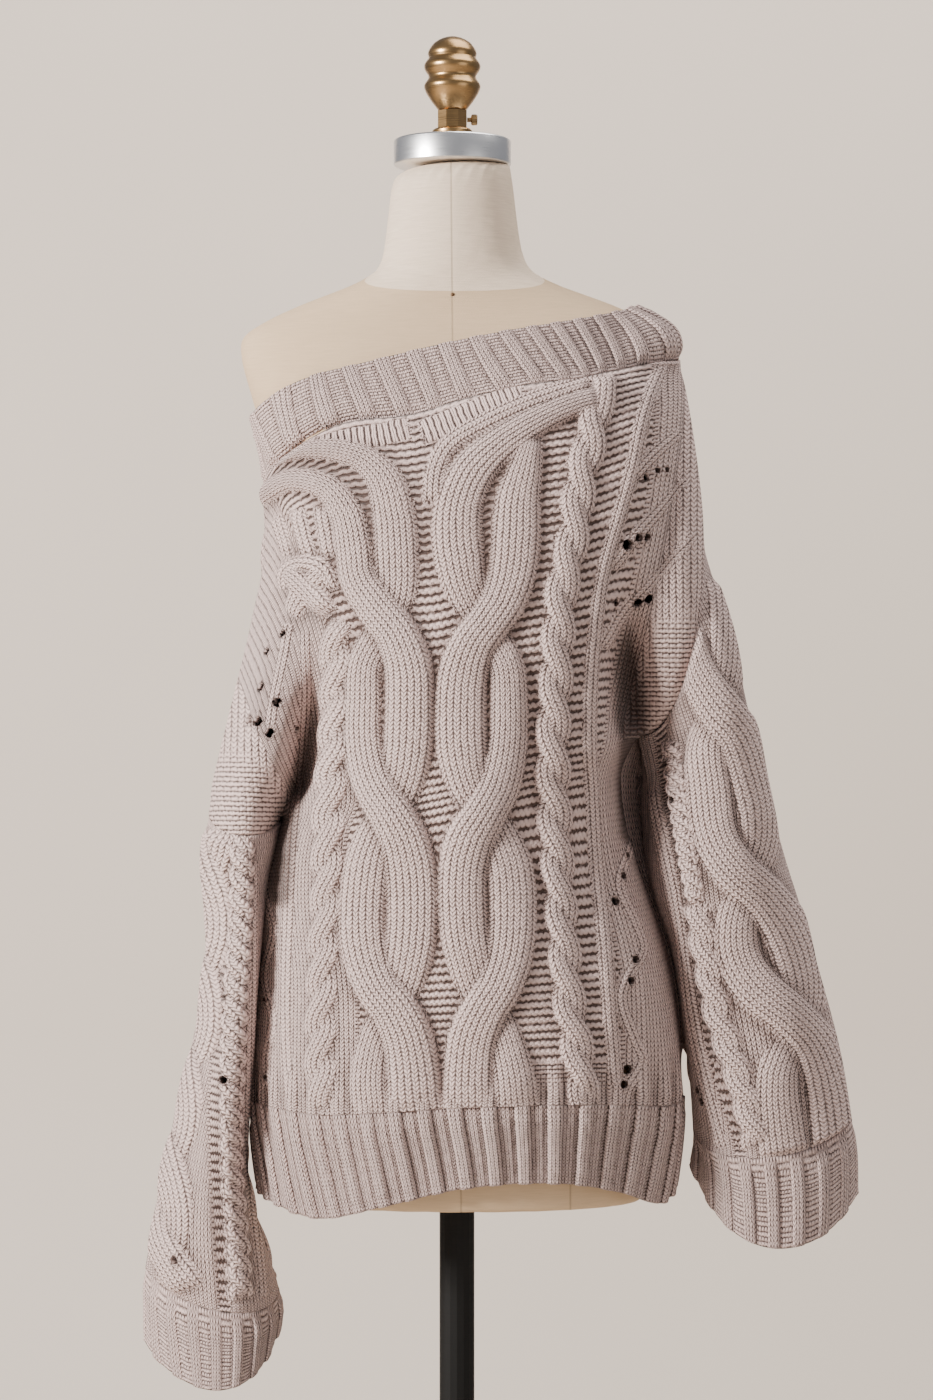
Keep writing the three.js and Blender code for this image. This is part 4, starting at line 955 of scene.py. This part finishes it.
def knit_piece(name, grid, flip, ring, ground, chart=chart_seen_from_front, strands=(), eyelets=(),
               seams=(0.0, 0.0), folded=False, even=False):
    """A knitted sheet: its ground and strands give each point a height, a stitch chart and a purl share.

    seams are how much relief its first and last row keep, folded paints shade into the folds under the arms,
    and even marks where the stitches keep an even size in the front view; shade is also painted in hollows
    and at eyelets."""
    grid = relax(grid, RELAX_PASSES, ring)
    chart_x, chart_y = chart(grid)
    keep = np.ones(((grid.shape[0] - 1) // 2, (grid.shape[1] - 1) // 2), dtype=bool)
    holes = punch(grid, chart_x, chart_y, eyelets, keep)
    normals = grid_normals(grid, flip, ring)
    base_u, base_v, purl, height = ground(grid, chart_x, chart_y)
    laid = [strand.lay(chart_x, chart_y) for strand in strands]
    even_ground = np.where(even, height + 0.01, NOWHERE)
    tops = np.stack([height, even_ground] + [found[0] for found in laid])
    owner = tops.argmax(axis=0)
    best = soften(tops.max(axis=0), ring)
    down = np.arange(grid.shape[1])
    kept_relief = np.where(down < len(down) / 2, *seams)
    edge = np.outer(
        np.ones(grid.shape[0]) if ring else ends_fade(grid.shape[0], 6),
        np.maximum(ends_fade(grid.shape[1], 5), kept_relief))
    rise = (best + holes + soft_folds(grid)) * edge
    us, vs = [base_u, chart_x / STITCH_WIDE], [base_v, chart_y / STITCH_HIGH]
    for strand, (_, across, along) in zip(strands, laid):
        us.append(along / BAR_WIDE if strand.upright else across * strand.wales / 2)
        vs.append(np.full_like(best, 0.25) if strand.upright else along / CABLE_STITCH)
    us, vs = np.stack(us), np.stack(vs)
    cell = tops[:, :-1, :-1] + tops[:, 1:, :-1] + tops[:, :-1, 1:] + tops[:, 1:, 1:]
    face_owner = cell.argmax(axis=0)

    def loops(ci, cj, corner_i, corner_j):
        own = face_owner[ci, cj][:, None]
        return np.stack([us[own, corner_i, corner_j], vs[own, corner_i, corner_j]], axis=-1)

    # Painted shade: darker in the hollows of the relief, a little round the eyelets, and in the folds under
    # the arms on the front.
    hollow_shade = np.clip((soften(best, ring, HOLLOW_SHADE_PASSES) - best) / HOLLOW_SHADE_DEPTH, 0, 1) * edge
    shade = smoothstep(fold_share(grid), 0.25, 0.8) if folded else 0
    marks = {
        "purl": np.where(owner > 1, 0.0, purl),
        "hollow_shade": np.maximum(np.maximum(hollow_shade, 0.35 * holes), shade),
    }
    return wall_mesh(name, grid, normals, rise, loops, keep, ring, flip, marks)


def even_steps(low, high, count):
    return np.linspace(low, high, count + 1)


def dense_columns(counts):
    """Wales of a panel's columns, closer over the cables."""
    parts = zip(COLUMN_PARTS, COLUMN_PARTS[1:], counts)
    return np.concatenate([[0.0]] + [even_steps(low, high, count)[1:] for low, high, count in parts])


def panel_ground(wales, rows):
    """A panel's ground: purl ladders round the cables, knit at the sides and purl rows low on the arms.

    The hem's ribs fade in above it."""
    def ground(grid, chart_x, chart_y):
        full = np.ones(grid.shape[:2])
        out = np.abs(wales - CENTRE_WALE)[:, None]
        right = (wales > CENTRE_WALE)[:, None]
        ladder_reach = np.where(right, 30, 16)
        arm_top = np.where(right, 1125, 1010)
        purl = 1 - smoothstep(out, ladder_reach, ladder_reach + 3) * full
        low_arm = smoothstep(out, 38, 41) * smoothstep(grid[..., 2], arm_top, arm_top - 30)
        purl = np.maximum(purl, 0.7 * low_arm * (rows < UNDERARM_ROW))
        height = 1.6 * smoothstep(out, ladder_reach + 0.5, ladder_reach + 3.5) * full
        ribs = HEM_DEPTH * rib_profile(wales / PANEL_WALES * HEM_RIBS_EACH % 1)[:, None]
        near_hem = smoothstep(rows, 0.9, 1)
        height = height * (1 - near_hem) + ribs * near_hem
        return wales[:, None] * full, rows * PANEL_STITCH_ROWS * full, purl * (1 - near_hem), height
    return ground


def sleeve_ground(which, side, turns, rows):
    """A sleeve's ground: knit, with a purl ladder beside the front's cable."""
    def ground(grid, chart_x, chart_y):
        full = np.ones(grid.shape[:2])
        u, v = (turns * 44)[:, None] * full, rows * 0.62 * full
        if side == "back":
            return u, v, 0.15 * full, 0.8 * full
        middle = np.interp(chart_y, *np.transpose(SLEEVE_LADDERS[which]))
        ladder = np.exp(-(((chart_x - middle) / 8) ** 4))
        return u, v, np.maximum(0.15, ladder), 0.8 - 3 * ladder
    return ground


class Graph:
    """A new material, whose nodes are built with few words."""

    def __init__(self, name):
        self.material = bpy.data.materials.new(name)
        self.material.use_nodes = True
        self.tree = self.material.node_tree
        self.shader = self.tree.nodes["Principled BSDF"]
        self.spot = self.node("ShaderNodeTexCoord").outputs["Object"]

    def set(self, **values):
        """Gives the shader's sockets, with _ for a space in their names, a value or a link."""
        for name, value in values.items():
            self.join(value, self.shader.inputs[name.replace("_", " ")])

    def node(self, kind, **settings):
        made = self.tree.nodes.new(kind)
        for key, value in settings.items():
            setattr(made, key, value)
        return made

    def join(self, value, socket):
        if isinstance(value, bpy.types.NodeSocket):
            self.tree.links.new(value, socket)
        else:
            socket.default_value = value

    def math(self, operation, *values, clamp=False):
        made = self.node("ShaderNodeMath", operation=operation, use_clamp=clamp)
        for value, socket in zip(values, made.inputs):
            self.join(value, socket)
        return made.outputs[0]

    def wave(self, value, times):
        """0 at each whole value and 1 between them."""
        return self.math("ABSOLUTE", self.math("SINE", self.math("MULTIPLY", value, times * math.pi)))

    def vector(self, operation, a, b):
        made = self.node("ShaderNodeVectorMath", operation=operation)
        self.join(a, made.inputs[0])
        self.join(b, made.inputs[1])
        return made.outputs[0]

    def noise(self, spot, scale, detail, output="Fac"):
        made = self.node("ShaderNodeTexNoise")
        self.join(spot, made.inputs["Vector"])
        made.inputs["Scale"].default_value = scale
        made.inputs["Detail"].default_value = detail
        return made.outputs[output]

    def split(self, vector):
        made = self.node("ShaderNodeSeparateXYZ")
        self.join(vector, made.inputs[0])
        return made.outputs

    def mix_value(self, share, a, b):
        made = self.node("ShaderNodeMix", data_type="FLOAT")
        for value, socket in ((share, 0), (a, 2), (b, 3)):
            self.join(value, made.inputs[socket])
        return made.outputs[0]

    def mix_colour(self, share, a, b):
        made = self.node("ShaderNodeMix", data_type="RGBA")
        self.join(share, made.inputs[0])
        for colour, socket in ((a, made.inputs[6]), (b, made.inputs[7])):
            self.join(colour if isinstance(colour, bpy.types.NodeSocket) else (*colour, 1), socket)
        return made.outputs[2]

    def bump(self, height, strength, distance):
        made = self.node("ShaderNodeBump")
        made.inputs["Strength"].default_value = strength
        made.inputs["Distance"].default_value = distance
        self.join(height, made.inputs["Height"])
        self.join(made.outputs["Normal"], self.shader.inputs["Normal"])


def darker(colour, share):
    return tuple(share * c for c in colour)


def make_yarn(name, settings):
    """Chunky chenille yarn: knit legs and purl bars from the stitch chart, with fuzz, a soft sheen and
    painted shade between the stitches, in hollows and in folds.
    """
    graph = Graph(name)
    math_node, spot = graph.math, graph.spot
    chart = graph.node("ShaderNodeUVMap", uv_map="stitches").outputs["UV"]
    shift = graph.vector("SUBTRACT", graph.noise(spot, 180, 2, "Color"), (0.5, 0.5, 0.5))
    shift = graph.vector("MULTIPLY", shift, (0.36, 0.5, 0))
    u, v, _ = graph.split(graph.vector("ADD", chart, shift))
    middle = math_node("ABSOLUTE", math_node("SUBTRACT", math_node("FRACT", u), 0.5))
    leg = graph.wave(math_node("MULTIPLY_ADD", middle, 1.4, v), 1)
    legs = math_node("MULTIPLY_ADD", leg, 0.42, math_node("MULTIPLY", graph.wave(u, 2), 0.16))
    knit = math_node("MULTIPLY_ADD", math_node("POWER", graph.wave(u, 1), 0.7), 0.42, legs)
    share = graph.node("ShaderNodeAttribute", attribute_name="purl").outputs["Fac"]
    ladder = math_node("GREATER_THAN", share, 0.8)
    bar = graph.mix_value(ladder, graph.wave(v, 1), graph.wave(v, 0.5))
    brick = math_node("MULTIPLY_ADD", math_node("FLOOR", v), 0.5, u)
    purl = math_node("MULTIPLY_ADD", graph.wave(brick, 1), 0.26, math_node("MULTIPLY", bar, 0.74))
    stitch = graph.mix_value(share, knit, purl)
    height = math_node("MULTIPLY_ADD", graph.noise(spot, 900, 3), 0.25, stitch)
    # Painted shade: the gaps between stitches, a little deeper in purl, and the hollows and folds marked on
    # the mesh darken the yarn toward its shade colour.
    hollow_shade = graph.node("ShaderNodeAttribute", attribute_name="hollow_shade").outputs["Fac"]
    gap = math_node("MULTIPLY", math_node("SUBTRACT", 0.76, stitch), 2.6, clamp=True)
    uneven = math_node("MULTIPLY_ADD", graph.noise(spot, 260, 2), 2.4, -0.2)
    gap = math_node("MULTIPLY", gap, uneven, clamp=True)
    deep = math_node("MULTIPLY_ADD", share, 0.1, 0.9)
    dark = math_node("MULTIPLY_ADD", hollow_shade, 0.8, math_node("MULTIPLY", gap, deep), clamp=True)
    light = graph.mix_colour(graph.noise(spot, 14, 2), settings.yarn_warm, settings.yarn)
    graph.set(
        Base_Color=graph.mix_colour(dark, light, settings.yarn_painted_shade), Roughness=0.95,
        Specular_IOR_Level=0.15, Sheen_Weight=0.2, Sheen_Roughness=0.6, Sheen_Tint=(0.95, 0.85, 0.82, 1))
    graph.bump(height, 1.0, settings.yarn_relief)
    return graph.material


def finish_cloth(piece, node):
    yarn = bpy.data.materials.get("chenille") or make_yarn("chenille", bpy.context.scene.knit)
    piece.data.materials.append(yarn)
    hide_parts(node)
    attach(piece, "root")


def rib_profile(share):
    """Height over one rib: a flat panel, a ditch, and a raised group of four fine wales."""
    group = smoothstep(share, 0.50, 0.56) * (1 - smoothstep(share, 0.93, 0.98))
    wale = np.abs(np.sin(np.pi * np.clip((share - 0.50) / 0.48, 0, 1) * 4))
    ditch = np.exp(-(((share - 0.47) / 0.035) ** 2)) + 0.6 * np.exp(-(((share - 0.99) / 0.03) ** 2))
    return group * (1.2 + 1.5 * wale) - 1.6 * ditch


def rib_ground(positions, ribs, rows_count, lean=0.0, depth=1.0, purl=0.6):
    """The ground of a rib: lean is how many ribs each slants by on its way down."""
    def ground(grid, chart_x, chart_y):
        down = np.linspace(0, 1, grid.shape[1])
        place = (positions / positions[-1] * ribs)[:, None] - lean * down
        share = place % 1
        grouped = (share > 0.48) & (share < 0.98)
        v = rows_count * down + np.zeros_like(place)
        return place * 8, v, np.where(grouped, 0.0, purl), depth * rib_profile(share)
    return ground


def colour_setting(name, description, default):
    return bpy.props.FloatVectorProperty(
        name=name, description=description, subtype="COLOR", size=3, default=default)


class KnitSettings(bpy.types.PropertyGroup):
    """Relief, colours and painted shade of the knitting."""
    yarn: colour_setting("Yarn", "Colour of the yarn", (0.78, 0.59, 0.545))
    yarn_warm: colour_setting("Yarn patches", "Slightly warmer patches", (0.73, 0.54, 0.495))
    # The dark colour of the painted shade between stitches, in hollows and in folds.
    yarn_painted_shade: colour_setting("Yarn between stitches", "Colour between the stitches", (0.065, 0.036, 0.028))
    yarn_relief: bpy.props.FloatProperty(
        name="Stitch relief", description="Height of the stitches", unit="LENGTH", default=0.0035)


class FormSettings(bpy.types.PropertyGroup):
    """Colours of the dress form and its stand."""
    linen: colour_setting("Linen", "Cover of the torso", (0.70, 0.51, 0.325))
    linen_neck: colour_setting("Neck linen", "Lighter cover of the neck", (0.86, 0.70, 0.55))
    brass: colour_setting("Brass", "Aged brass of the finial", (0.50, 0.31, 0.14))
    black: colour_setting("Stand paint", "Black paint of the stand", (0.005, 0.0048, 0.0045))


class StageSettings(bpy.types.PropertyGroup):
    """The studio round the object."""
    wall: colour_setting("Backdrop", "Paper of floor and wall", (0.655, 0.575, 0.495))
    camera_distance: bpy.props.FloatProperty(
        name="Camera distance", description="From the pole to the camera", unit="LENGTH", default=3.0)


class KNIT_OT_panels(bpy.types.Operator):
    """Knit the front and the back."""
    bl_idname = "knit.panels"
    bl_label = "Front and back"

    def execute(self, context):
        for side in ("front", "back"):
            wales = dense_columns(COLUMNS[side])
            rows = even_steps(0, 1, ROWS[side])
            if side == "front":
                drawn = {"strands": FRONT_STRANDS, "eyelets": FRONT_EYELETS}
            else:
                chart = level_chart(wales * BACK_PITCH, rows * BACK_HEIGHT)
                drawn = {"chart": chart, "strands": back_strands(), "eyelets": BACK_EYELETS}
            on_arm = (np.abs(wales - CENTRE_WALE) > ARM_WALES)[:, None] & (rows < UNDERARM_ROW)
            piece = knit_piece(
                f"knit_{side}", panel_grid(side, wales, rows), side == "back", False,
                panel_ground(wales, rows), seams=(0.0, 0.8), folded=side == "front", even=on_arm, **drawn)
            finish_cloth(piece, side)
        return {"FINISHED"}


class KNIT_OT_sleeves(bpy.types.Operator):
    """Knit the two sleeves, each as a front and a back half."""
    bl_idname = "knit.sleeves"
    bl_label = "Sleeves"

    def execute(self, context):
        turns = even_steps(0, 1, SLEEVE_COLUMNS)
        for which, (count, width, length, strands, eyelets) in SLEEVE_CUTS.items():
            levels = even_steps(0, 1, count)
            height = count * SLEEVE_ROW
            for side in ("front", "back"):
                if side == "front":
                    drawn = {"strands": strands, "eyelets": eyelets}
                else:
                    chart = level_chart(turns * SLEEVE_WIDTH, levels * height)
                    drawn = {"chart": chart, "strands": sleeve_back_strands(height)}
                piece = knit_piece(
                    f"knit_sleeve_{which}_{side}", sleeve_grid(which, side, turns, levels),
                    (side == "back") != (which == "right"), False,
                    sleeve_ground(which, side, turns, levels * count), **drawn)
                finish_cloth(piece, f"sleeve_{which}_{side}")
        return {"FINISHED"}


class KNIT_OT_ribs(bpy.types.Operator):
    """Knit the hem rib, the cuffs and the neck band."""
    bl_idname = "knit.ribs"
    bl_label = "Ribs"

    def execute(self, context):
        wales = even_steps(0, PANEL_WALES, HEM_RIBS_EACH * 20)
        lean = np.interp(wales, (0, CENTRE_WALE, PANEL_WALES), (1.4, 0.5, -1.0))[:, None]
        for side in ("front", "back"):
            piece = knit_piece(
                f"knit_hem_rib_{side}", body_grid(side, wales, even_steps(1, 2, 36)), side == "back", False,
                rib_ground(wales, HEM_RIBS_EACH, 24, lean, HEM_DEPTH, 0.2), seams=(0.8, 0.8))
            finish_cloth(piece, f"hem_rib_{side}")
        turns = even_steps(0, 2, CUFF_RIBS * 20)
        levels = even_steps(1, 2, 32)
        over = turns <= 1
        for which in ("left", "right"):
            grid = np.concatenate([
                sleeve_grid(which, "front", turns[over], levels),
                sleeve_grid(which, "back", 2 - turns[~over], levels),
            ])
            piece = knit_piece(
                f"knit_cuff_{which}", grid, which == "right", True, rib_ground(turns, CUFF_RIBS, 18),
                seams=(0.0, 0.8))
            finish_cloth(piece, f"cuff_{which}")
        turns = even_steps(0, 2, BAND_RIBS * 24)
        piece = knit_piece(
            "knit_neck_band", band_grid(turns, even_steps(0, 1, 30)), False, True,
            rib_ground(turns, BAND_RIBS, 18, 0.5), seams=(0.8, 0.0))
        finish_cloth(piece, "neck_band")
        return {"FINISHED"}


def dress(node, material):
    """Gives a solid of the frame its material."""
    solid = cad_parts[node]
    solid.data.materials.clear()
    solid.data.materials.append(material)
    return solid


def make_linen(settings):
    """Plain woven linen with slubs, the centre seam, low side seams, and the paler cover of the neck."""
    graph = Graph("linen")
    math_node, spot = graph.math, graph.spot
    x, y, z = graph.split(spot)
    back = math_node("MULTIPLY", y, -1.0)
    weft = math_node("SINE", math_node("MULTIPLY", z, 2 * math.pi / THREAD))
    around = math_node("ARCTAN2", x, back)
    warp = math_node("SINE", math_node("MULTIPLY", around, 2 * math.pi * THREAD_RADIUS / THREAD))
    weave = math_node("MULTIPLY", weft, warp)
    slub = graph.noise(graph.vector("MULTIPLY", spot, (60, 60, 900)), 1.0, 3)
    neck = math_node("GREATER_THAN", z, math_node("MULTIPLY_ADD", y, 0.42, 1.408))
    centre_x = math_node("MULTIPLY_ADD", math_node("SUBTRACT", 1.38, z), 0.0097, PIN[0] * MM)
    centre_line = math_node("ABSOLUTE", math_node("SUBTRACT", x, centre_x))
    side_line = math_node("ABSOLUTE", math_node("SUBTRACT", math_node("ABSOLUTE", x), 0.095))
    low_front = math_node("MULTIPLY", math_node("LESS_THAN", z, 1.0), math_node("GREATER_THAN", back, 0.0))
    side_line = math_node("ADD", side_line, math_node("SUBTRACT", 1.0, low_front))
    nearest = math_node("MINIMUM", centre_line, side_line)
    seam = math_node("SUBTRACT", 1.0, math_node("DIVIDE", nearest, SEAM_HALF), clamp=True)
    torso = graph.mix_colour(graph.noise(spot, 6, 3), settings.linen, darker(settings.linen, 0.85))
    base = graph.mix_colour(neck, torso, settings.linen_neck)
    threads = math_node("MULTIPLY", math_node("SUBTRACT", 0.9, slub), 0.6, clamp=True)
    base = graph.mix_colour(threads, base, darker(settings.linen, 0.6))
    colour = graph.mix_colour(math_node("MULTIPLY", seam, 0.6), base, darker(settings.linen, 0.35))
    graph.set(Base_Color=colour, Roughness=0.85, Specular_IOR_Level=0.2)
    height = math_node("MULTIPLY_ADD", weave, 0.25, slub)
    graph.bump(math_node("SUBTRACT", height, math_node("MULTIPLY", seam, 1.5)), 0.4, 0.0006)
    return graph.material


def make_metal(name, colour, roughness, metallic, wear, specular=0.5):
    """Metal or paint with a fine uneven gloss and darker, rougher patches."""
    graph = Graph(name)
    streak = graph.noise(graph.vector("MULTIPLY", graph.spot, (40, 40, 2600)), 1.0, 2)
    shade = graph.math("MULTIPLY", graph.noise(graph.spot, 90, 4), wear)
    graph.set(
        Base_Color=graph.mix_colour(shade, colour, darker(colour, 0.35)), Metallic=metallic,
        Specular_IOR_Level=specular, Roughness=graph.math("MULTIPLY_ADD", streak, 0.25, roughness - 0.12))
    graph.bump(streak, 0.12, 0.0002)
    return graph.material


def apply_place():
    bpy.ops.object.transform_apply(location=True, rotation=True, scale=True)


def turned(name, node, profile, material):
    """A turned piece on the node's axis and foot: a disc drawn up through (height, radius) in mm."""
    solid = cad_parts[node]
    corners = [solid.matrix_world @ Vector(corner) for corner in solid.bound_box]
    low, high = (Vector(pick(c[i] for c in corners) for i in range(3)) for pick in (min, max))
    (foot, radius), rest = profile[0], profile[1:]
    bpy.ops.object.select_all(action="DESELECT")
    bpy.ops.mesh.primitive_circle_add(
        vertices=96, radius=radius * MM, fill_type="NGON",
        location=((low.x + high.x) / 2, (low.y + high.y) / 2, low.z + foot * MM))
    piece = bpy.context.object
    piece.name = name
    bpy.ops.object.mode_set(mode="EDIT")
    bpy.ops.mesh.select_all(action="SELECT")
    for height, wide in rest:
        bpy.ops.mesh.extrude_region_move(TRANSFORM_OT_translate={"value": (0, 0, (height - foot) * MM)})
        bpy.ops.transform.resize(value=(wide / radius, wide / radius, 1))
        foot, radius = height, wide
    bpy.ops.mesh.select_all(action="SELECT")
    bpy.ops.mesh.normals_make_consistent(inside=False)
    bpy.ops.object.mode_set(mode="OBJECT")
    apply_place()
    bpy.ops.object.shade_smooth_by_angle(angle=math.radians(35))
    piece.data.materials.append(material)
    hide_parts(node)
    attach(piece, "root")


FINIAL_PROFILE = (
    (0, 11.5), (0.6, 12.2), (3.5, 14.5), (7.5, 17.6), (12, 20.6), (15, 22.4), (18, 23.7), (20, 24.3),
    (22, 24.2), (24, 23.1), (26, 21.5), (27.6, 20.7), (29, 20.4), (30.6, 20.7), (32, 21.7), (34, 23.1),
    (36.3, 24.1), (38.5, 24.3), (40.5, 23.7), (42.5, 22.3), (44.2, 20.9), (45.6, 20.3), (47, 20.6),
    (49, 21.1), (51.5, 20.4), (54, 19), (56.5, 17.2), (58.5, 15.2), (60.5, 12.2), (62.2, 8.6), (63.4, 4.6),
    (63.9, 1.4),
)
FLANGE_PROFILE = (
    (0, 15.6), (0.5, 16.1), (2.5, 16.2), (3.0, 16.8), (3.6, 17.2), (7.6, 17.2), (8.5, 16.5), (9.2, 15.6),
    (9.5, 14.4),
)
# How the ring's edges are rounded: (height in from the edge, cut off the radius), below and above.
RING_FOOT = ((0, 1.2), (0.4, 0.5), (1.1, 0.0))
RING_TOP = ((1.6, 0.0), (0.6, 0.5), (0, 1.5))


class FORM_OT_torso(bpy.types.Operator):
    """Cover the torso in linen."""
    bl_idname = "form.torso"
    bl_label = "Torso"

    def execute(self, context):
        torso = dress("form_torso", make_linen(context.scene.form))
        weld = torso.modifiers.new("weld", "WELD")
        weld.merge_threshold = 0.0001
        rounding = torso.modifiers.new("rounding", "SUBSURF")
        rounding.levels = rounding.render_levels = 2
        for polygon in torso.data.polygons:
            polygon.use_smooth = True
        across, height = PIN
        depth = float(TORSO.at(height)["front"])
        bpy.ops.object.select_all(action="DESELECT")
        bpy.ops.mesh.primitive_uv_sphere_add(
            segments=16, ring_count=8, radius=PIN_RADIUS, location=(across * MM, -depth * MM, height * MM))
        pin = context.object
        pin.name = "neck_pin"
        apply_place()
        bpy.ops.object.shade_smooth()
        pin.data.materials.append(make_metal("pin_metal", (0.16, 0.10, 0.06), 0.4, 1.0, 0.4))
        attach(pin, "root")
        return {"FINISHED"}


class FORM_OT_fittings(bpy.types.Operator):
    """Finish the neck ring, the finial and the thumb screw."""
    bl_idname = "form.fittings"
    bl_label = "Neck fittings"

    def execute(self, context):
        form = context.scene.form
        steel = make_metal("ring_metal", (0.86, 0.86, 0.86), 0.32, 1.0, 0.2)
        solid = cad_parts["neck_ring"]
        radius, height = solid.dimensions.x / 2 / MM, solid.dimensions.z / MM
        foot = [(z, radius - cut) for z, cut in RING_FOOT]
        top = [(height - z, radius - cut) for z, cut in RING_TOP]
        turned("ring_turned", "neck_ring", foot + top, steel)
        brass = make_metal("brass", tuple(form.brass), 0.3, 1.0, 0.7)
        turned("finial_turned", "finial", FINIAL_PROFILE, brass)
        turned("flange_turned", "finial_flange", FLANGE_PROFILE, brass)
        for node in ("finial_collar", "thumb_screw"):
            dress(node, brass)
        return {"FINISHED"}


class FORM_OT_stand(bpy.types.Operator):
    """Paint the pole, its socket and the base."""
    bl_idname = "form.stand"
    bl_label = "Stand"

    def execute(self, context):
        paint = make_metal("black_metal", tuple(context.scene.form.black), 0.6, 0.0, 0.5, 0.2)
        for node in ("base", "pole_socket", "pole"):
            dress(node, paint)
        return {"FINISHED"}


class STAGE_OT_studio(bpy.types.Operator):
    """Set the floor, the backdrop, the lights and the camera."""
    bl_idname = "stage.studio"
    bl_label = "Studio"

    def execute(self, context):
        settings = context.scene.stage
        paper = Graph("paper")
        wall = settings.wall
        grain = paper.noise(paper.spot, 3, 2)
        paper.set(Base_Color=paper.mix_colour(grain, wall, darker(wall, 0.95)), Roughness=0.95)
        curve = [
            (1.0 + SWEEP * math.sin(angle), SWEEP - SWEEP * math.cos(angle))
            for angle in np.linspace(0, math.pi / 2, 16)
        ]
        for name, profile, half_width in (
            ("floor", [(-5.0, 0.0), (6.0, 0.0)], 6.0),
            ("backdrop", curve + [(1.0 + SWEEP, 2.4)], 0.95),
        ):
            vertices = [(x, y, z) for y, z in profile for x in (-half_width, half_width)]
            faces = [(2 * i, 2 * i + 1, 2 * i + 3, 2 * i + 2) for i in range(len(profile) - 1)]
            mesh = bpy.data.meshes.new(name)
            mesh.from_pydata(vertices, [], faces)
            mesh.polygons.foreach_set("use_smooth", [True] * len(faces))
            mesh.materials.append(paper.material)
            sheet = bpy.data.objects.new(name, mesh)
            context.scene.collection.objects.link(sheet)
        for name, place, aim, size, power in (
            ("key", (-2.6, -1.8, 2.0), (0.0, 0.1, 1.0), 0.8, 270),
            ("fill", (2.4, -2.4, 0.9), (0.0, 0.1, 1.0), 2.0, 21),
            ("wall_light", (0.8, 0.3, 3.2), (0.3, 1.6, 1.2), 1.8, 60),
        ):
            light = bpy.data.lights.new(name, "AREA")
            light.energy = power
            light.size = size
            light.color = (1.0, 0.965, 0.93)
            lamp = bpy.data.objects.new(name, light)
            lamp.location = place
            lamp.rotation_euler = (Vector(aim) - Vector(place)).to_track_quat("-Z", "Y").to_euler()
            context.scene.collection.objects.link(lamp)
        world = bpy.data.worlds.new("studio")
        world.use_nodes = True
        sky = world.node_tree.nodes["Background"]
        sky.inputs["Color"].default_value = (0.92, 0.93, 1.0, 1)
        sky.inputs["Strength"].default_value = 0.30
        context.scene.world = world
        camera = bpy.data.cameras.new("camera")
        camera.lens = 89.7
        camera.sensor_width = 36
        eye = bpy.data.objects.new("camera", camera)
        eye.location = (EYE_X * MM, -settings.camera_distance, EYE_Z * MM)
        eye.rotation_euler = (math.pi / 2, 0, 0)
        context.scene.collection.objects.link(eye)
        context.scene.camera = eye
        return {"FINISHED"}


class KNIT_PT_panel(bpy.types.Panel):
    """The sizes, colours and steps of the sweater."""
    bl_idname = "KNIT_PT_panel"
    bl_label = "Cable knit sweater"
    bl_space_type = "VIEW_3D"
    bl_region_type = "UI"
    bl_category = "Sweater"

    def draw(self, context):
        for group in (context.scene.knit, context.scene.form, context.scene.stage):
            for name in group.__annotations__:
                self.layout.prop(group, name)
        for step in OPERATORS:
            self.layout.operator(step.bl_idname)


GROUPS = (("knit", KnitSettings), ("form", FormSettings), ("stage", StageSettings))
OPERATORS = (
    KNIT_OT_panels, KNIT_OT_sleeves, KNIT_OT_ribs, FORM_OT_torso, FORM_OT_fittings, FORM_OT_stand,
    STAGE_OT_studio,
)


def register():
    for name, group in GROUPS:
        bpy.utils.register_class(group)
        setattr(bpy.types.Scene, name, bpy.props.PointerProperty(type=group))
    for step in (*OPERATORS, KNIT_PT_panel):
        bpy.utils.register_class(step)


def unregister():
    for step in reversed((*OPERATORS, KNIT_PT_panel)):
        bpy.utils.unregister_class(step)
    for name, group in reversed(GROUPS):
        delattr(bpy.types.Scene, name)
        bpy.utils.unregister_class(group)


def main():
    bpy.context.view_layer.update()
    register()
    bpy.ops.knit.panels()
    bpy.ops.knit.sleeves()
    bpy.ops.knit.ribs()
    bpy.ops.form.torso()
    bpy.ops.form.fittings()
    bpy.ops.form.stand()
    bpy.ops.stage.studio()


if __name__ == "__main__":
    main()
